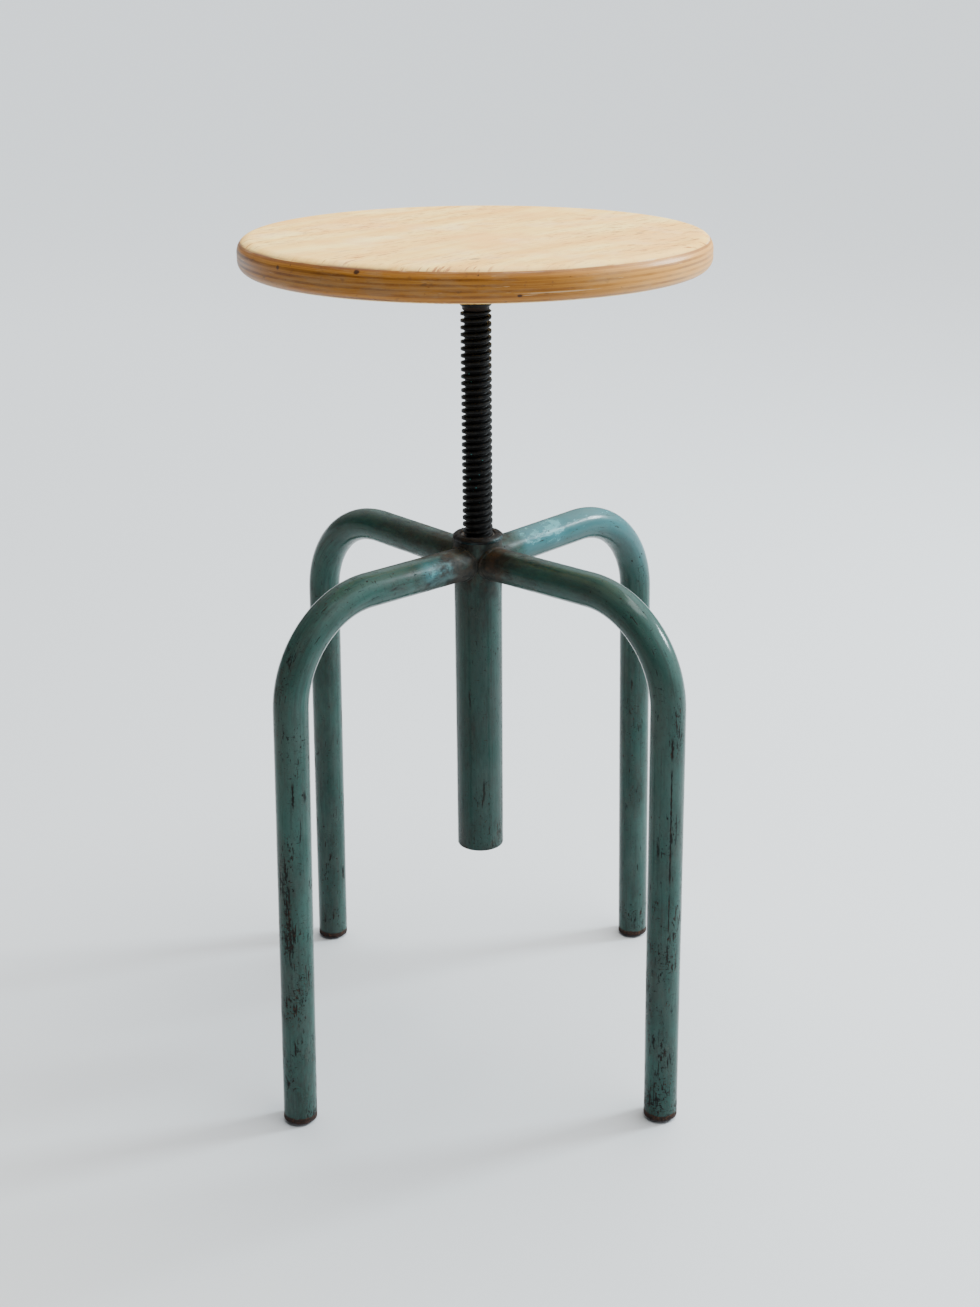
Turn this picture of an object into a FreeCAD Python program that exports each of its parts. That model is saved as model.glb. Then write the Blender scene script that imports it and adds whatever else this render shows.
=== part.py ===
# Adjustable swivel stool: a round plywood seat on a trapezoidal screw spindle that
# turns in a threaded bush, welded into the top of a tubular column with four bent
# tubular legs.
#
# Frame: origin on the floor on the column's axis, +Z up, front of the stool towards -Y.
# All dimensions in millimetres. The rest height has the seat's underside at z = 613.5.
import FreeCAD, Part
import os
import math
from FreeCAD import Vector, Placement, Rotation

os.makedirs("parts", exist_ok=True)

doc = FreeCAD.newDocument("SwivelStool")

# ----------------------------------------------------------------------------------
# Driving dimensions
# ----------------------------------------------------------------------------------
DIMENSIONS = [
    # seat
    ("seat_dia", 330.0, "seat board diameter"),
    ("seat_thick", 23.0, "seat board thickness"),
    ("seat_under_z", 613.5, "height of the seat board's underside at rest"),
    ("seat_top_round", 9.5, "rounding of the seat's upper edge"),
    ("seat_low_round", 8.0, "rounding of the seat's lower edge"),
    # plate under the seat and its wood screws
    ("plate_dia", 120.0, "seat plate diameter"),
    ("plate_thick", 5.0, "seat plate thickness"),
    ("plate_edge", 0.8, "chamfer on the seat plate's edge"),
    ("plate_bore", 22.1, "bore in the plate for the spindle"),
    ("plate_weld_leg", 5.0, "leg of the fillet weld between spindle and plate"),
    ("screw_circle", 92.0, "pitch circle of the four wood screws"),
    ("screw_hole", 5.5, "screw clearance hole in the plate"),
    ("screw_shank", 4.4, "wood screw shank diameter"),
    ("screw_pilot", 4.5, "pilot hole in the board"),
    ("screw_length", 20.0, "wood screw length under the head"),
    ("screw_head", 9.0, "wood screw head diameter"),
    ("screw_head_rise", 3.2, "wood screw head height"),
    ("screw_point", 4.0, "length of the wood screw's point"),
    ("screw_slot", 1.3, "width of the driving slot"),
    ("screw_slot_deep", 1.5, "depth of the driving slot"),
    # spindle
    ("thread_major", 22.0, "spindle thread major diameter"),
    ("thread_root", 16.5, "spindle thread root diameter"),
    ("thread_pitch", 5.0, "thread pitch, right hand, single start"),
    ("thread_crest", 1.7, "width of the thread at its crest"),
    ("thread_base", 3.5, "width of the thread at its root"),
    ("thread_phase_z", 347.75, "height of a thread crest in the XZ plane, on the +X side"),
    ("thread_run", 234.2, "length of the cut thread"),
    ("spindle_low_z", 345.0, "lower end of the spindle"),
    ("spindle_shoulder_z", 352.0, "shoulder above the journal"),
    ("journal_dia", 12.0, "journal for the guide disc"),
    ("neck_low_z", 583.2, "start of the thread's run-out neck"),
    ("neck_high_z", 585.3, "end of the run-out neck"),
    ("neck_dia", 19.6, "run-out neck diameter"),
    ("collar_z", 586.3, "start of the plain top of the spindle"),
    ("spindle_recess", 0.5, "spindle end below the plate's upper face"),
    # nut bush
    ("nut_dia", 30.8, "outer diameter of the threaded bush"),
    ("nut_low_z", 383.0, "lower face of the bush"),
    ("nut_high_z", 417.2, "upper face of the bush"),
    ("nut_play", 0.37, "clearance between the two threads, all round"),
    ("nut_cut_z", 377.75, "start of the cut of the bush's thread"),
    ("nut_cut_run", 50.0, "length of the cut of the bush's thread"),
    ("nut_lead", 1.6, "lead-in chamfer of the bush"),
    # column
    ("column_dia", 36.0, "column tube outer diameter"),
    ("column_wall", 2.5, "column tube wall"),
    ("column_low_z", 162.5, "open lower end of the column"),
    ("column_high_z", 416.2, "upper rim of the column"),
    # legs
    ("leg_dia", 25.0, "leg tube outer diameter"),
    ("leg_wall", 2.0, "leg tube wall"),
    ("run_z", 397.4, "height of the leg's centre line on the column's axis"),
    ("leg_tilt", 1.5, "tilt of the whole leg, run rising and leg splaying"),
    ("bend_radius", 71.5, "bend radius of the tube's centre line"),
    ("foot_radius", 191.0, "distance of the foot's centre from the axis, on the floor"),
    ("leg_weld", 3.4, "leg of the welds between legs and column"),
    # foot plugs
    ("foot_gap", 3.2, "height of the tube's end above the floor"),
    ("plug_stem", 20.8, "plug stem diameter"),
    ("plug_stem_run", 16.0, "plug stem length"),
    ("plug_edge", 1.2, "thickness of the plug at its rim"),
    ("plug_dome", 3.6, "height of the plug's domed head at its centre"),
    # guide disc, washers and bolt on the spindle's lower end
    ("disc_dia", 30.4, "guide disc outer diameter"),
    ("disc_bore", 12.6, "guide disc bore"),
    ("disc_low_z", 345.4, "guide disc lower face"),
    ("disc_thick", 6.2, "guide disc thickness"),
    ("washer_dia", 20.0, "end washer diameter"),
    ("washer_bore", 8.4, "bore of both washers"),
    ("washer_thick", 1.8, "end washer thickness"),
    ("lock_dia", 14.0, "spring lock washer diameter"),
    ("lock_thick", 2.0, "spring lock washer thickness"),
    ("lock_split", 1.2, "split in the lock washer"),
    ("bolt_dia", 8.0, "stop bolt shank diameter"),
    ("bolt_hole", 8.1, "hole for the stop bolt in the spindle"),
    ("bolt_run", 20.0, "stop bolt length under the head"),
    ("bolt_hole_deep", 19.0, "depth of the hole in the spindle"),
    ("bolt_flats", 13.0, "stop bolt head across flats"),
    ("bolt_head", 5.3, "stop bolt head height"),
]

sheet = doc.addObject("Spreadsheet::Sheet", "Dimensions")
sheet.set("A1", "dimension")
sheet.set("B1", "value")
VALUE = {}
for row, (alias, value, note) in enumerate(DIMENSIONS, start=2):
    sheet.set("A%d" % row, note)
    sheet.set("B%d" % row, str(value))
    sheet.setAlias("B%d" % row, alias)
    VALUE[alias] = value
doc.recompute()


class Dim:
    """A length that carries its present value and the sheet expression behind it."""

    def __init__(self, value, text):
        self.value = float(value)
        self.text = text

    @staticmethod
    def of(other):
        return other if isinstance(other, Dim) else Dim(other, repr(float(other)))

    def __add__(self, other):
        other = Dim.of(other)
        return Dim(self.value + other.value, "(%s + %s)" % (self.text, other.text))

    def __sub__(self, other):
        other = Dim.of(other)
        return Dim(self.value - other.value, "(%s - %s)" % (self.text, other.text))

    def __mul__(self, other):
        other = Dim.of(other)
        return Dim(self.value * other.value, "(%s * %s)" % (self.text, other.text))

    def __truediv__(self, other):
        other = Dim.of(other)
        return Dim(self.value / other.value, "(%s / %s)" % (self.text, other.text))

    def __radd__(self, other):
        return Dim.of(other) + self

    def __rsub__(self, other):
        return Dim.of(other) - self

    def __rmul__(self, other):
        return Dim.of(other) * self

    def __neg__(self):
        return Dim(-self.value, "(-%s)" % self.text)


def dim(alias):
    return Dim(VALUE[alias], "Dimensions.%s" % alias)


def bind(obj, prop, size):
    obj.setExpression(prop, Dim.of(size).text)


def tan_of(alias):
    return Dim(math.tan(math.radians(VALUE[alias])), "tan(Dimensions.%s * 1 deg)" % alias)


# ----------------------------------------------------------------------------------
# Sketch helpers
# ----------------------------------------------------------------------------------
def new_body(label):
    body = doc.addObject("PartDesign::Body", label)
    body.Label = label
    return body


def origin_plane(body, role):
    return [o for o in body.Origin.OriginFeatures if o.Role == role][0]


def new_sketch(body, name, role, offset=None):
    sketch = body.newObject("Sketcher::SketchObject", name)
    sketch.AttachmentSupport = [(origin_plane(body, role), "")]
    sketch.MapMode = "FlatFace"
    if offset is not None:
        # shift along the plane's normal
        sketch.AttachmentOffset = Placement(Vector(0, 0, Dim.of(offset).value), Rotation())
        sketch.setExpression(".AttachmentOffset.Base.z", Dim.of(offset).text)
    return sketch


def add_circle(sketch, diameter, x=None, y=None):
    import Sketcher
    cx = Dim.of(x or 0.0)
    cy = Dim.of(y or 0.0)
    d = Dim.of(diameter)
    n = sketch.addGeometry(Part.Circle(Vector(cx.value, cy.value, 0), Vector(0, 0, 1), d.value / 2.0), False)
    if x is None and y is None:
        sketch.addConstraint(Sketcher.Constraint("Coincident", n, 3, -1, 1))
    else:
        place_point(sketch, n, 3, cx, cy)
    c = sketch.addConstraint(Sketcher.Constraint("Diameter", n, d.value))
    sketch.setExpression("Constraints[%d]" % c, d.text)
    return n


def place_point(sketch, geo, pos, x, y):
    """Fix one point of a sketch by its two distances from the sketch's origin."""
    import Sketcher
    x = Dim.of(x)
    y = Dim.of(y)
    if abs(x.value) < 1e-9:
        sketch.addConstraint(Sketcher.Constraint("PointOnObject", geo, pos, -2))
    else:
        c = sketch.addConstraint(Sketcher.Constraint("DistanceX", -1, 1, geo, pos, x.value))
        sketch.setExpression("Constraints[%d]" % c, x.text)
    if abs(y.value) < 1e-9:
        sketch.addConstraint(Sketcher.Constraint("PointOnObject", geo, pos, -1))
    else:
        c = sketch.addConstraint(Sketcher.Constraint("DistanceY", -1, 1, geo, pos, y.value))
        sketch.setExpression("Constraints[%d]" % c, y.text)


def add_polygon(sketch, points):
    """Closed outline through the points, every corner held by its own two distances."""
    import Sketcher
    pts = [(Dim.of(a), Dim.of(b)) for a, b in points]
    first = None
    ids = []
    for i, (a, b) in enumerate(pts):
        c, d = pts[(i + 1) % len(pts)]
        ids.append(sketch.addGeometry(Part.LineSegment(Vector(a.value, b.value, 0), Vector(c.value, d.value, 0)), False))
    for i, n in enumerate(ids):
        sketch.addConstraint(Sketcher.Constraint("Coincident", n, 2, ids[(i + 1) % len(ids)], 1))
    for n, (a, b) in zip(ids, pts):
        place_point(sketch, n, 1, a, b)
    return ids


def pad(body, sketch, length, name):
    feature = body.newObject("PartDesign::Pad", name)
    feature.Profile = sketch
    feature.Length = Dim.of(length).value
    bind(feature, "Length", length)
    return feature


def revolve(body, sketch, name, kind="PartDesign::Revolution", axis="V_Axis"):
    feature = body.newObject(kind, name)
    feature.Profile = sketch
    feature.ReferenceAxis = (sketch, [axis])
    feature.Angle = 360.0
    return feature


def circle_edges(shape, radius, z):
    """Names of the circular edges of that radius about the axis at height z."""
    names = []
    for i, edge in enumerate(shape.Edges, start=1):
        curve = edge.Curve
        if curve.TypeId == "Part::GeomCircle" and abs(curve.Radius - radius) < 1e-4:
            if abs(curve.Center.z - z) < 1e-4 and math.hypot(curve.Center.x, curve.Center.y) < 1e-4:
                names.append("Edge%d" % i)
    return names


def dress(body, kind, name, radius, z, prop, size):
    """Fillet or chamfer the body's circular edge of that radius at height z."""
    base = body.Tip
    edges = circle_edges(base.Shape, radius, z)
    if not edges:
        raise RuntimeError("no edge for " + name)
    feature = body.newObject(kind, name)
    feature.Base = (base, edges)
    setattr(feature, prop, Dim.of(size).value)
    bind(feature, prop, size)
    doc.recompute()
    return feature


SUB_PARTS = []


def finish_part(obj, label, placement=None):
    obj.Label = label
    if placement is not None:
        obj.Placement = placement
    SUB_PARTS.append((label, obj))
    return obj


def about_z(angle):
    return Placement(Vector(0, 0, 0), Rotation(Vector(0, 0, 1), angle))


# ----------------------------------------------------------------------------------
# Seat board: a turned plywood disc with rounded edges and four blind pilot holes
# ----------------------------------------------------------------------------------
board = new_body("seat_board")
sk = new_sketch(board, "board_outline", "XY_Plane", dim("seat_under_z"))
add_circle(sk, dim("seat_dia"))
pad(board, sk, dim("seat_thick"), "board_pad")
doc.recompute()
rim = VALUE["seat_dia"] / 2.0
top_z = VALUE["seat_under_z"] + VALUE["seat_thick"]
dress(board, "PartDesign::Fillet", "board_top_round", rim, top_z, "Radius", dim("seat_top_round"))
dress(board, "PartDesign::Fillet", "board_low_round", rim, VALUE["seat_under_z"], "Radius", dim("seat_low_round"))
sk = new_sketch(board, "pilot_outline", "XY_Plane", dim("seat_under_z"))
add_circle(sk, dim("screw_pilot"), dim("screw_circle") / 2.0, 0.0)
hole = board.newObject("PartDesign::Pocket", "pilot_hole")
hole.Profile = sk
hole.Reversed = True
bind(hole, "Length", dim("screw_length") - dim("plate_thick") + 1.0)
doc.recompute()
pattern = board.newObject("PartDesign::PolarPattern", "pilot_pattern")
pattern.Originals = [hole]
pattern.Axis = (sk, ["N_Axis"])
pattern.Angle = 360.0
pattern.Occurrences = 4
board.Tip = pattern
doc.recompute()
finish_part(board, "seat_board", about_z(0))

# ----------------------------------------------------------------------------------
# Seat plate: a round steel flange with a bore for the spindle and four screw holes
# ----------------------------------------------------------------------------------
plate = new_body("seat_plate")
plate_low = dim("seat_under_z") - dim("plate_thick")
sk = new_sketch(plate, "plate_outline", "XY_Plane", plate_low)
add_circle(sk, dim("plate_dia"))
add_circle(sk, dim("plate_bore"))
pad(plate, sk, dim("plate_thick"), "plate_pad")
doc.recompute()
dress(plate, "PartDesign::Chamfer", "plate_edge_break", VALUE["plate_dia"] / 2.0, plate_low.value, "Size", dim("plate_edge"))
sk = new_sketch(plate, "plate_hole_outline", "XY_Plane", plate_low)
add_circle(sk, dim("screw_hole"), dim("screw_circle") / 2.0, 0.0)
hole = plate.newObject("PartDesign::Pocket", "plate_hole")
hole.Profile = sk
hole.Reversed = True
bind(hole, "Length", dim("plate_thick") + 1.0)
doc.recompute()
pattern = plate.newObject("PartDesign::PolarPattern", "plate_hole_pattern")
pattern.Originals = [hole]
pattern.Axis = (sk, ["N_Axis"])
pattern.Angle = 360.0
pattern.Occurrences = 4
plate.Tip = pattern
doc.recompute()
finish_part(plate, "seat_plate", about_z(0))

# ----------------------------------------------------------------------------------
# Wood screws: four round-head screws, driven up through the plate into the board
# ----------------------------------------------------------------------------------
screws = new_body("seat_screws")
screws.AllowCompound = True
sk = new_sketch(screws, "screw_profile", "XZ_Plane")
sk.AttachmentOffset = Placement(Vector(VALUE["screw_circle"] / 2.0, plate_low.value, 0), Rotation())
sk.setExpression(".AttachmentOffset.Base.x", (dim("screw_circle") / 2.0).text)
sk.setExpression(".AttachmentOffset.Base.y", plate_low.text)
head_r = dim("screw_head") / 2.0
shank_r = dim("screw_shank") / 2.0
rise = dim("screw_head_rise")
add_polygon(sk, [
    (0.0, -rise),
    (head_r * 0.42, rise * -0.93),
    (head_r * 0.76, rise * -0.66),
    (head_r * 0.96, rise * -0.28),
    (head_r, 0.0),
    (shank_r, 0.0),
    (shank_r, dim("screw_length") - dim("screw_point")),
    (0.0, dim("screw_length")),
])
turned = revolve(screws, sk, "screw_turned")
doc.recompute()
slot_sk = new_sketch(screws, "screw_slot_outline", "XY_Plane", plate_low - rise)
half = dim("screw_slot") / 2.0
mid = dim("screw_circle") / 2.0
reach = dim("screw_head")
add_polygon(slot_sk, [
    (mid - reach, -half), (mid + reach, -half), (mid + reach, half), (mid - reach, half),
])
slot = screws.newObject("PartDesign::Pocket", "screw_slot_cut")
slot.Profile = slot_sk
slot.Reversed = True
bind(slot, "Length", dim("screw_slot_deep"))
doc.recompute()
pattern = screws.newObject("PartDesign::PolarPattern", "screw_pattern")
pattern.Originals = [turned, slot]
pattern.Axis = (slot_sk, ["N_Axis"])
pattern.Angle = 360.0
pattern.Occurrences = 4
screws.Tip = pattern
doc.recompute()
finish_part(screws, "seat_screws", about_z(0))

# ----------------------------------------------------------------------------------
# Fillet weld between the spindle's plain top and the underside of the plate
# ----------------------------------------------------------------------------------
bead = new_body("plate_weld")
sk = new_sketch(bead, "plate_weld_profile", "XZ_Plane")
rod = dim("thread_major") / 2.0
leg = dim("plate_weld_leg")
add_polygon(sk, [
    (rod, plate_low),
    (rod, plate_low - leg),
    (rod + leg * 0.45, plate_low - leg * 0.72),
    (rod + leg * 0.82, plate_low - leg * 0.36),
    (rod + leg, plate_low),
])
revolve(bead, sk, "plate_weld_ring")
doc.recompute()
finish_part(bead, "plate_weld", about_z(0))

# ----------------------------------------------------------------------------------
# Spindle: turned rod with a right-hand trapezoidal thread, a run-out neck under its
# plain top, and a journal with a tapped hole at its lower end
# ----------------------------------------------------------------------------------
spindle = new_body("spindle")
root = dim("thread_root") / 2.0
crest = dim("thread_major") / 2.0
sk = new_sketch(spindle, "spindle_profile", "XZ_Plane")
add_polygon(sk, [
    (0.0, dim("spindle_low_z")),
    (root, dim("spindle_low_z")),
    (root, dim("neck_low_z")),
    (dim("neck_dia") / 2.0, dim("neck_low_z")),
    (dim("neck_dia") / 2.0, dim("neck_high_z")),
    (crest, dim("collar_z")),
    (crest, dim("seat_under_z") - dim("spindle_recess")),
    (0.0, dim("seat_under_z") - dim("spindle_recess")),
])
revolve(spindle, sk, "spindle_core")
doc.recompute()
sunk = 0.1
sk = new_sketch(spindle, "thread_profile", "XZ_Plane")
mid_z = dim("thread_phase_z")
add_polygon(sk, [
    (root - sunk, mid_z - dim("thread_base") / 2.0),
    (crest - 0.25, mid_z - dim("thread_crest") / 2.0 - 0.05),
    (crest, mid_z - dim("thread_crest") / 2.0 + 0.25),
    (crest, mid_z + dim("thread_crest") / 2.0 - 0.25),
    (crest - 0.25, mid_z + dim("thread_crest") / 2.0 + 0.05),
    (root - sunk, mid_z + dim("thread_base") / 2.0),
])
ridge = spindle.newObject("PartDesign::AdditiveHelix", "thread_ridge")
ridge.Profile = sk
ridge.ReferenceAxis = (sk, ["V_Axis"])
ridge.Mode = 0
ridge.Pitch = VALUE["thread_pitch"]
ridge.Height = VALUE["thread_run"]
bind(ridge, "Pitch", dim("thread_pitch"))
bind(ridge, "Height", dim("thread_run"))
ridge.LeftHanded = False
doc.recompute()
# the journal is turned down to its shoulder, which has a lead-in chamfer
sk = new_sketch(spindle, "journal_profile", "XZ_Plane")
add_polygon(sk, [
    (dim("journal_dia") / 2.0, dim("spindle_low_z") - 10.0),
    (dim("journal_dia") / 2.0, dim("spindle_shoulder_z")),
    (root - 0.25, dim("spindle_shoulder_z")),
    (crest + 1.0, dim("spindle_shoulder_z") + (crest - root) + 1.25),
    (crest + 1.0, dim("spindle_low_z") - 10.0),
])
revolve(spindle, sk, "journal_cut", "PartDesign::Groove")
doc.recompute()
sk = new_sketch(spindle, "bolt_hole_outline", "XY_Plane", dim("spindle_low_z"))
add_circle(sk, dim("bolt_hole"))
hole = spindle.newObject("PartDesign::Pocket", "bolt_hole_cut")
hole.Profile = sk
hole.Reversed = True
bind(hole, "Length", dim("bolt_hole_deep"))
doc.recompute()
finish_part(spindle, "spindle", about_z(0))

# ----------------------------------------------------------------------------------
# Spindle nut: a threaded bush that sits in the top of the column
# ----------------------------------------------------------------------------------
nut = new_body("spindle_nut")
play = dim("nut_play")
bore = root + play
lead = dim("nut_lead")
low = dim("nut_low_z")
high = dim("nut_high_z")
sk = new_sketch(nut, "nut_profile", "XZ_Plane")
add_polygon(sk, [
    (bore + lead, low),
    (dim("nut_dia") / 2.0 - 0.8, low),
    (dim("nut_dia") / 2.0, low + 0.8),
    (dim("nut_dia") / 2.0, high),
    (bore + lead, high),
    (bore, high - lead),
    (bore, low + lead),
])
revolve(nut, sk, "nut_turned")
doc.recompute()
# width of the groove on any radius is the ridge's width there plus the play on both sides
sk = new_sketch(nut, "nut_thread_profile", "XZ_Plane")
cut_z = dim("nut_cut_z")
wide = dim("thread_base") / 2.0 + play
tight = dim("thread_crest") / 2.0 + 0.12 + play
add_polygon(sk, [
    (root - sunk, cut_z - wide),
    (crest + play, cut_z - tight),
    (crest + play, cut_z + tight),
    (root - sunk, cut_z + wide),
])
groove = nut.newObject("PartDesign::SubtractiveHelix", "nut_thread")
groove.Profile = sk
groove.ReferenceAxis = (sk, ["V_Axis"])
groove.Mode = 0
groove.Pitch = VALUE["thread_pitch"]
groove.Height = VALUE["nut_cut_run"]
bind(groove, "Pitch", dim("thread_pitch"))
bind(groove, "Height", dim("nut_cut_run"))
groove.LeftHanded = False
doc.recompute()
finish_part(nut, "spindle_nut", about_z(0))

# ----------------------------------------------------------------------------------
# Weld ring that closes the joint between the bush and the column's rim
# ----------------------------------------------------------------------------------
ring = new_body("nut_weld")
tube_out = dim("column_dia") / 2.0
tube_in = tube_out - dim("column_wall")
rim_z = dim("column_high_z")
sk = new_sketch(ring, "nut_weld_profile", "XZ_Plane")
add_polygon(sk, [
    (tube_in, rim_z),
    (tube_out, rim_z),
    (tube_out, rim_z - 1.9),
    (tube_out + 0.7, rim_z - 1.2),
    (tube_out + 0.9, rim_z),
    (tube_out + 0.3, rim_z + 1.2),
    (tube_out - 1.4, rim_z + 2.1),
    (tube_in - 0.6, rim_z + 2.3),
    (tube_in - 2.2, rim_z + 1.9),
    (tube_in - 2.9, high),
    (tube_in, high),
])
revolve(ring, sk, "nut_weld_ring")
doc.recompute()
finish_part(ring, "nut_weld", about_z(0))

# ----------------------------------------------------------------------------------
# Column: a plain tube, cut square and open at its lower end
# ----------------------------------------------------------------------------------
column = new_body("column_tube")
sk = new_sketch(column, "column_outline", "XY_Plane", dim("column_low_z"))
add_circle(sk, dim("column_dia"))
add_circle(sk, dim("column_dia") - dim("column_wall") * 2.0)
pad(column, sk, dim("column_high_z") - dim("column_low_z"), "column_pad")
doc.recompute()
dress(column, "PartDesign::Chamfer", "column_low_edge", VALUE["column_dia"] / 2.0, VALUE["column_low_z"], "Size", 0.5)
finish_part(column, "column_tube", about_z(0))

# ----------------------------------------------------------------------------------
# Legs: one tube each, run out from the column, bent through 90 degrees and down to
# the floor. The whole bend is tilted, so the run rises and the leg splays a little.
# ----------------------------------------------------------------------------------
import Sketcher

SIDES = [("front_left", 225.0), ("front_right", 315.0), ("back_left", 135.0), ("back_right", 45.0)]

tilt = math.radians(VALUE["leg_tilt"])
foot_x = dim("foot_radius") - dim("foot_gap") * tan_of("leg_tilt")
foot_z = dim("foot_gap")


def make_leg(side, angle):
    body = new_body("leg_" + side)
    # path in the XZ plane: run, bend, leg
    path = new_sketch(body, "path_" + side, "XZ_Plane")
    z0 = VALUE["run_z"]
    t = math.tan(tilt)
    cx = (VALUE["foot_radius"] - z0 * t) / (1.0 + t * t)
    cz = z0 + cx * t
    rb = VALUE["bend_radius"]
    ux, uz = math.cos(tilt), math.sin(tilt)
    a = Vector(0, z0, 0)
    b = Vector(cx - rb * ux, cz - rb * uz, 0)
    c = Vector(cx + rb * uz, cz - rb * ux, 0)
    d = Vector(foot_x.value, foot_z.value, 0)
    centre = Vector(b.x + rb * uz, b.y - rb * ux, 0)
    l1 = path.addGeometry(Part.LineSegment(a, b), False)
    start = math.atan2(c.y - centre.y, c.x - centre.x)
    end = math.atan2(b.y - centre.y, b.x - centre.x)
    arc = path.addGeometry(Part.ArcOfCircle(Part.Circle(centre, Vector(0, 0, 1), rb), start, end), False)
    l2 = path.addGeometry(Part.LineSegment(c, d), False)
    path.addConstraint(Sketcher.Constraint("Tangent", l1, 2, arc, 2))
    path.addConstraint(Sketcher.Constraint("Tangent", arc, 1, l2, 1))
    k = path.addConstraint(Sketcher.Constraint("Radius", arc, rb))
    path.setExpression("Constraints[%d]" % k, dim("bend_radius").text)
    place_point(path, l1, 1, 0.0, dim("run_z"))
    k = path.addConstraint(Sketcher.Constraint("Angle", l1, tilt))
    path.setExpression("Constraints[%d]" % k, "Dimensions.leg_tilt * 1 deg")
    path.addConstraint(Sketcher.Constraint("Perpendicular", l1, l2))
    place_point(path, l2, 2, foot_x, foot_z)
    doc.recompute()
    # tube section square to the start of the path
    section = new_sketch(body, "section_" + side, "YZ_Plane")
    section.AttachmentOffset = Placement(Vector(0, z0, 0), Rotation(Vector(1, 0, 0), -VALUE["leg_tilt"]))
    section.setExpression(".AttachmentOffset.Base.y", dim("run_z").text)
    section.setExpression(".AttachmentOffset.Rotation.Angle", "-Dimensions.leg_tilt * 1 deg")
    add_circle(section, dim("leg_dia"))
    add_circle(section, dim("leg_dia") - dim("leg_wall") * 2.0)
    doc.recompute()
    pipe = body.newObject("PartDesign::AdditivePipe", "tube_" + side)
    pipe.Profile = section
    pipe.Spine = (path, ["Edge1", "Edge2", "Edge3"])
    pipe.Transition = 0
    doc.recompute()
    # the end against the column is coped to the column's outside
    cope = new_sketch(body, "cope_outline_" + side, "XY_Plane")
    add_circle(cope, dim("column_dia"))
    cut = body.newObject("PartDesign::Pocket", "cope_" + side)
    cut.Profile = cope
    cut.Reversed = True
    cut.Type = 0
    bind(cut, "Length", dim("run_z") + dim("leg_dia") * 2.0)
    doc.recompute()
    finish_part(body, "leg_" + side, about_z(angle))
    return body


def make_foot(side, angle):
    # domed steel plug: its stem sits in the tube, its head closes the tube's end and
    # has a small flat worn level with the floor
    body = new_body("foot_plug_" + side)
    sketch = new_sketch(body, "plug_profile_" + side, "XZ_Plane")
    sketch.AttachmentOffset = Placement(Vector(foot_x.value, foot_z.value, 0), Rotation(Vector(0, 0, 1), VALUE["leg_tilt"]))
    sketch.setExpression(".AttachmentOffset.Base.x", foot_x.text)
    sketch.setExpression(".AttachmentOffset.Base.y", foot_z.text)
    sketch.setExpression(".AttachmentOffset.Rotation.Angle", "Dimensions.leg_tilt * 1 deg")
    stem = VALUE["plug_stem"] / 2.0
    out = VALUE["leg_dia"] / 2.0
    run = VALUE["plug_stem_run"]
    edge = VALUE["plug_edge"]
    dome = VALUE["plug_dome"]
    pts = [
        (0.0, dim("plug_stem_run")),
        (dim("plug_stem") / 2.0 - 1.0, dim("plug_stem_run")),
        (dim("plug_stem") / 2.0, dim("plug_stem_run") - 1.5),
        (dim("plug_stem") / 2.0, 0.0),
        (dim("leg_dia") / 2.0, 0.0),
        (dim("leg_dia") / 2.0, -dim("plug_edge")),
    ]
    ids = []
    for (a, b), (c, d) in zip(pts[:-1], pts[1:]):
        a, b, c, d = [Dim.of(q).value for q in (a, b, c, d)]
        ids.append(sketch.addGeometry(Part.LineSegment(Vector(a, b, 0), Vector(c, d, 0)), False))
    fall = dome - edge
    rad = (out * out + fall * fall) / (2.0 * fall)
    centre = Vector(0, -dome + rad, 0)
    a0 = -math.pi / 2.0
    a1 = math.atan2(-edge - centre.y, out)
    cap = sketch.addGeometry(Part.ArcOfCircle(Part.Circle(centre, Vector(0, 0, 1), rad), a0, a1), False)
    back = sketch.addGeometry(Part.LineSegment(Vector(0, -dome, 0), Vector(0, run, 0)), False)
    for m, n in zip(ids[:-1], ids[1:]):
        sketch.addConstraint(Sketcher.Constraint("Coincident", m, 2, n, 1))
    for n, (a, b) in zip(ids, pts):
        place_point(sketch, n, 1, a, b)
    place_point(sketch, ids[-1], 2, pts[-1][0], pts[-1][1])
    sketch.addConstraint(Sketcher.Constraint("Coincident", cap, 2, ids[-1], 2))
    sketch.addConstraint(Sketcher.Constraint("PointOnObject", cap, 3, -2))
    sketch.addConstraint(Sketcher.Constraint("Coincident", cap, 1, back, 1))
    sketch.addConstraint(Sketcher.Constraint("Coincident", back, 2, ids[0], 1))
    place_point(sketch, back, 1, 0.0, -dim("plug_dome"))
    revolve(body, sketch, "plug_turned_" + side)
    doc.recompute()
    flat = new_sketch(body, "plug_flat_" + side, "XY_Plane")
    add_circle(flat, dim("leg_dia") * 2.0, dim("foot_radius"), 0.0)
    cut = body.newObject("PartDesign::Pocket", "plug_flat_cut_" + side)
    cut.Profile = flat
    cut.Length = 5.0
    doc.recompute()
    finish_part(body, "foot_plug_" + side, about_z(angle))
    return body


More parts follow.
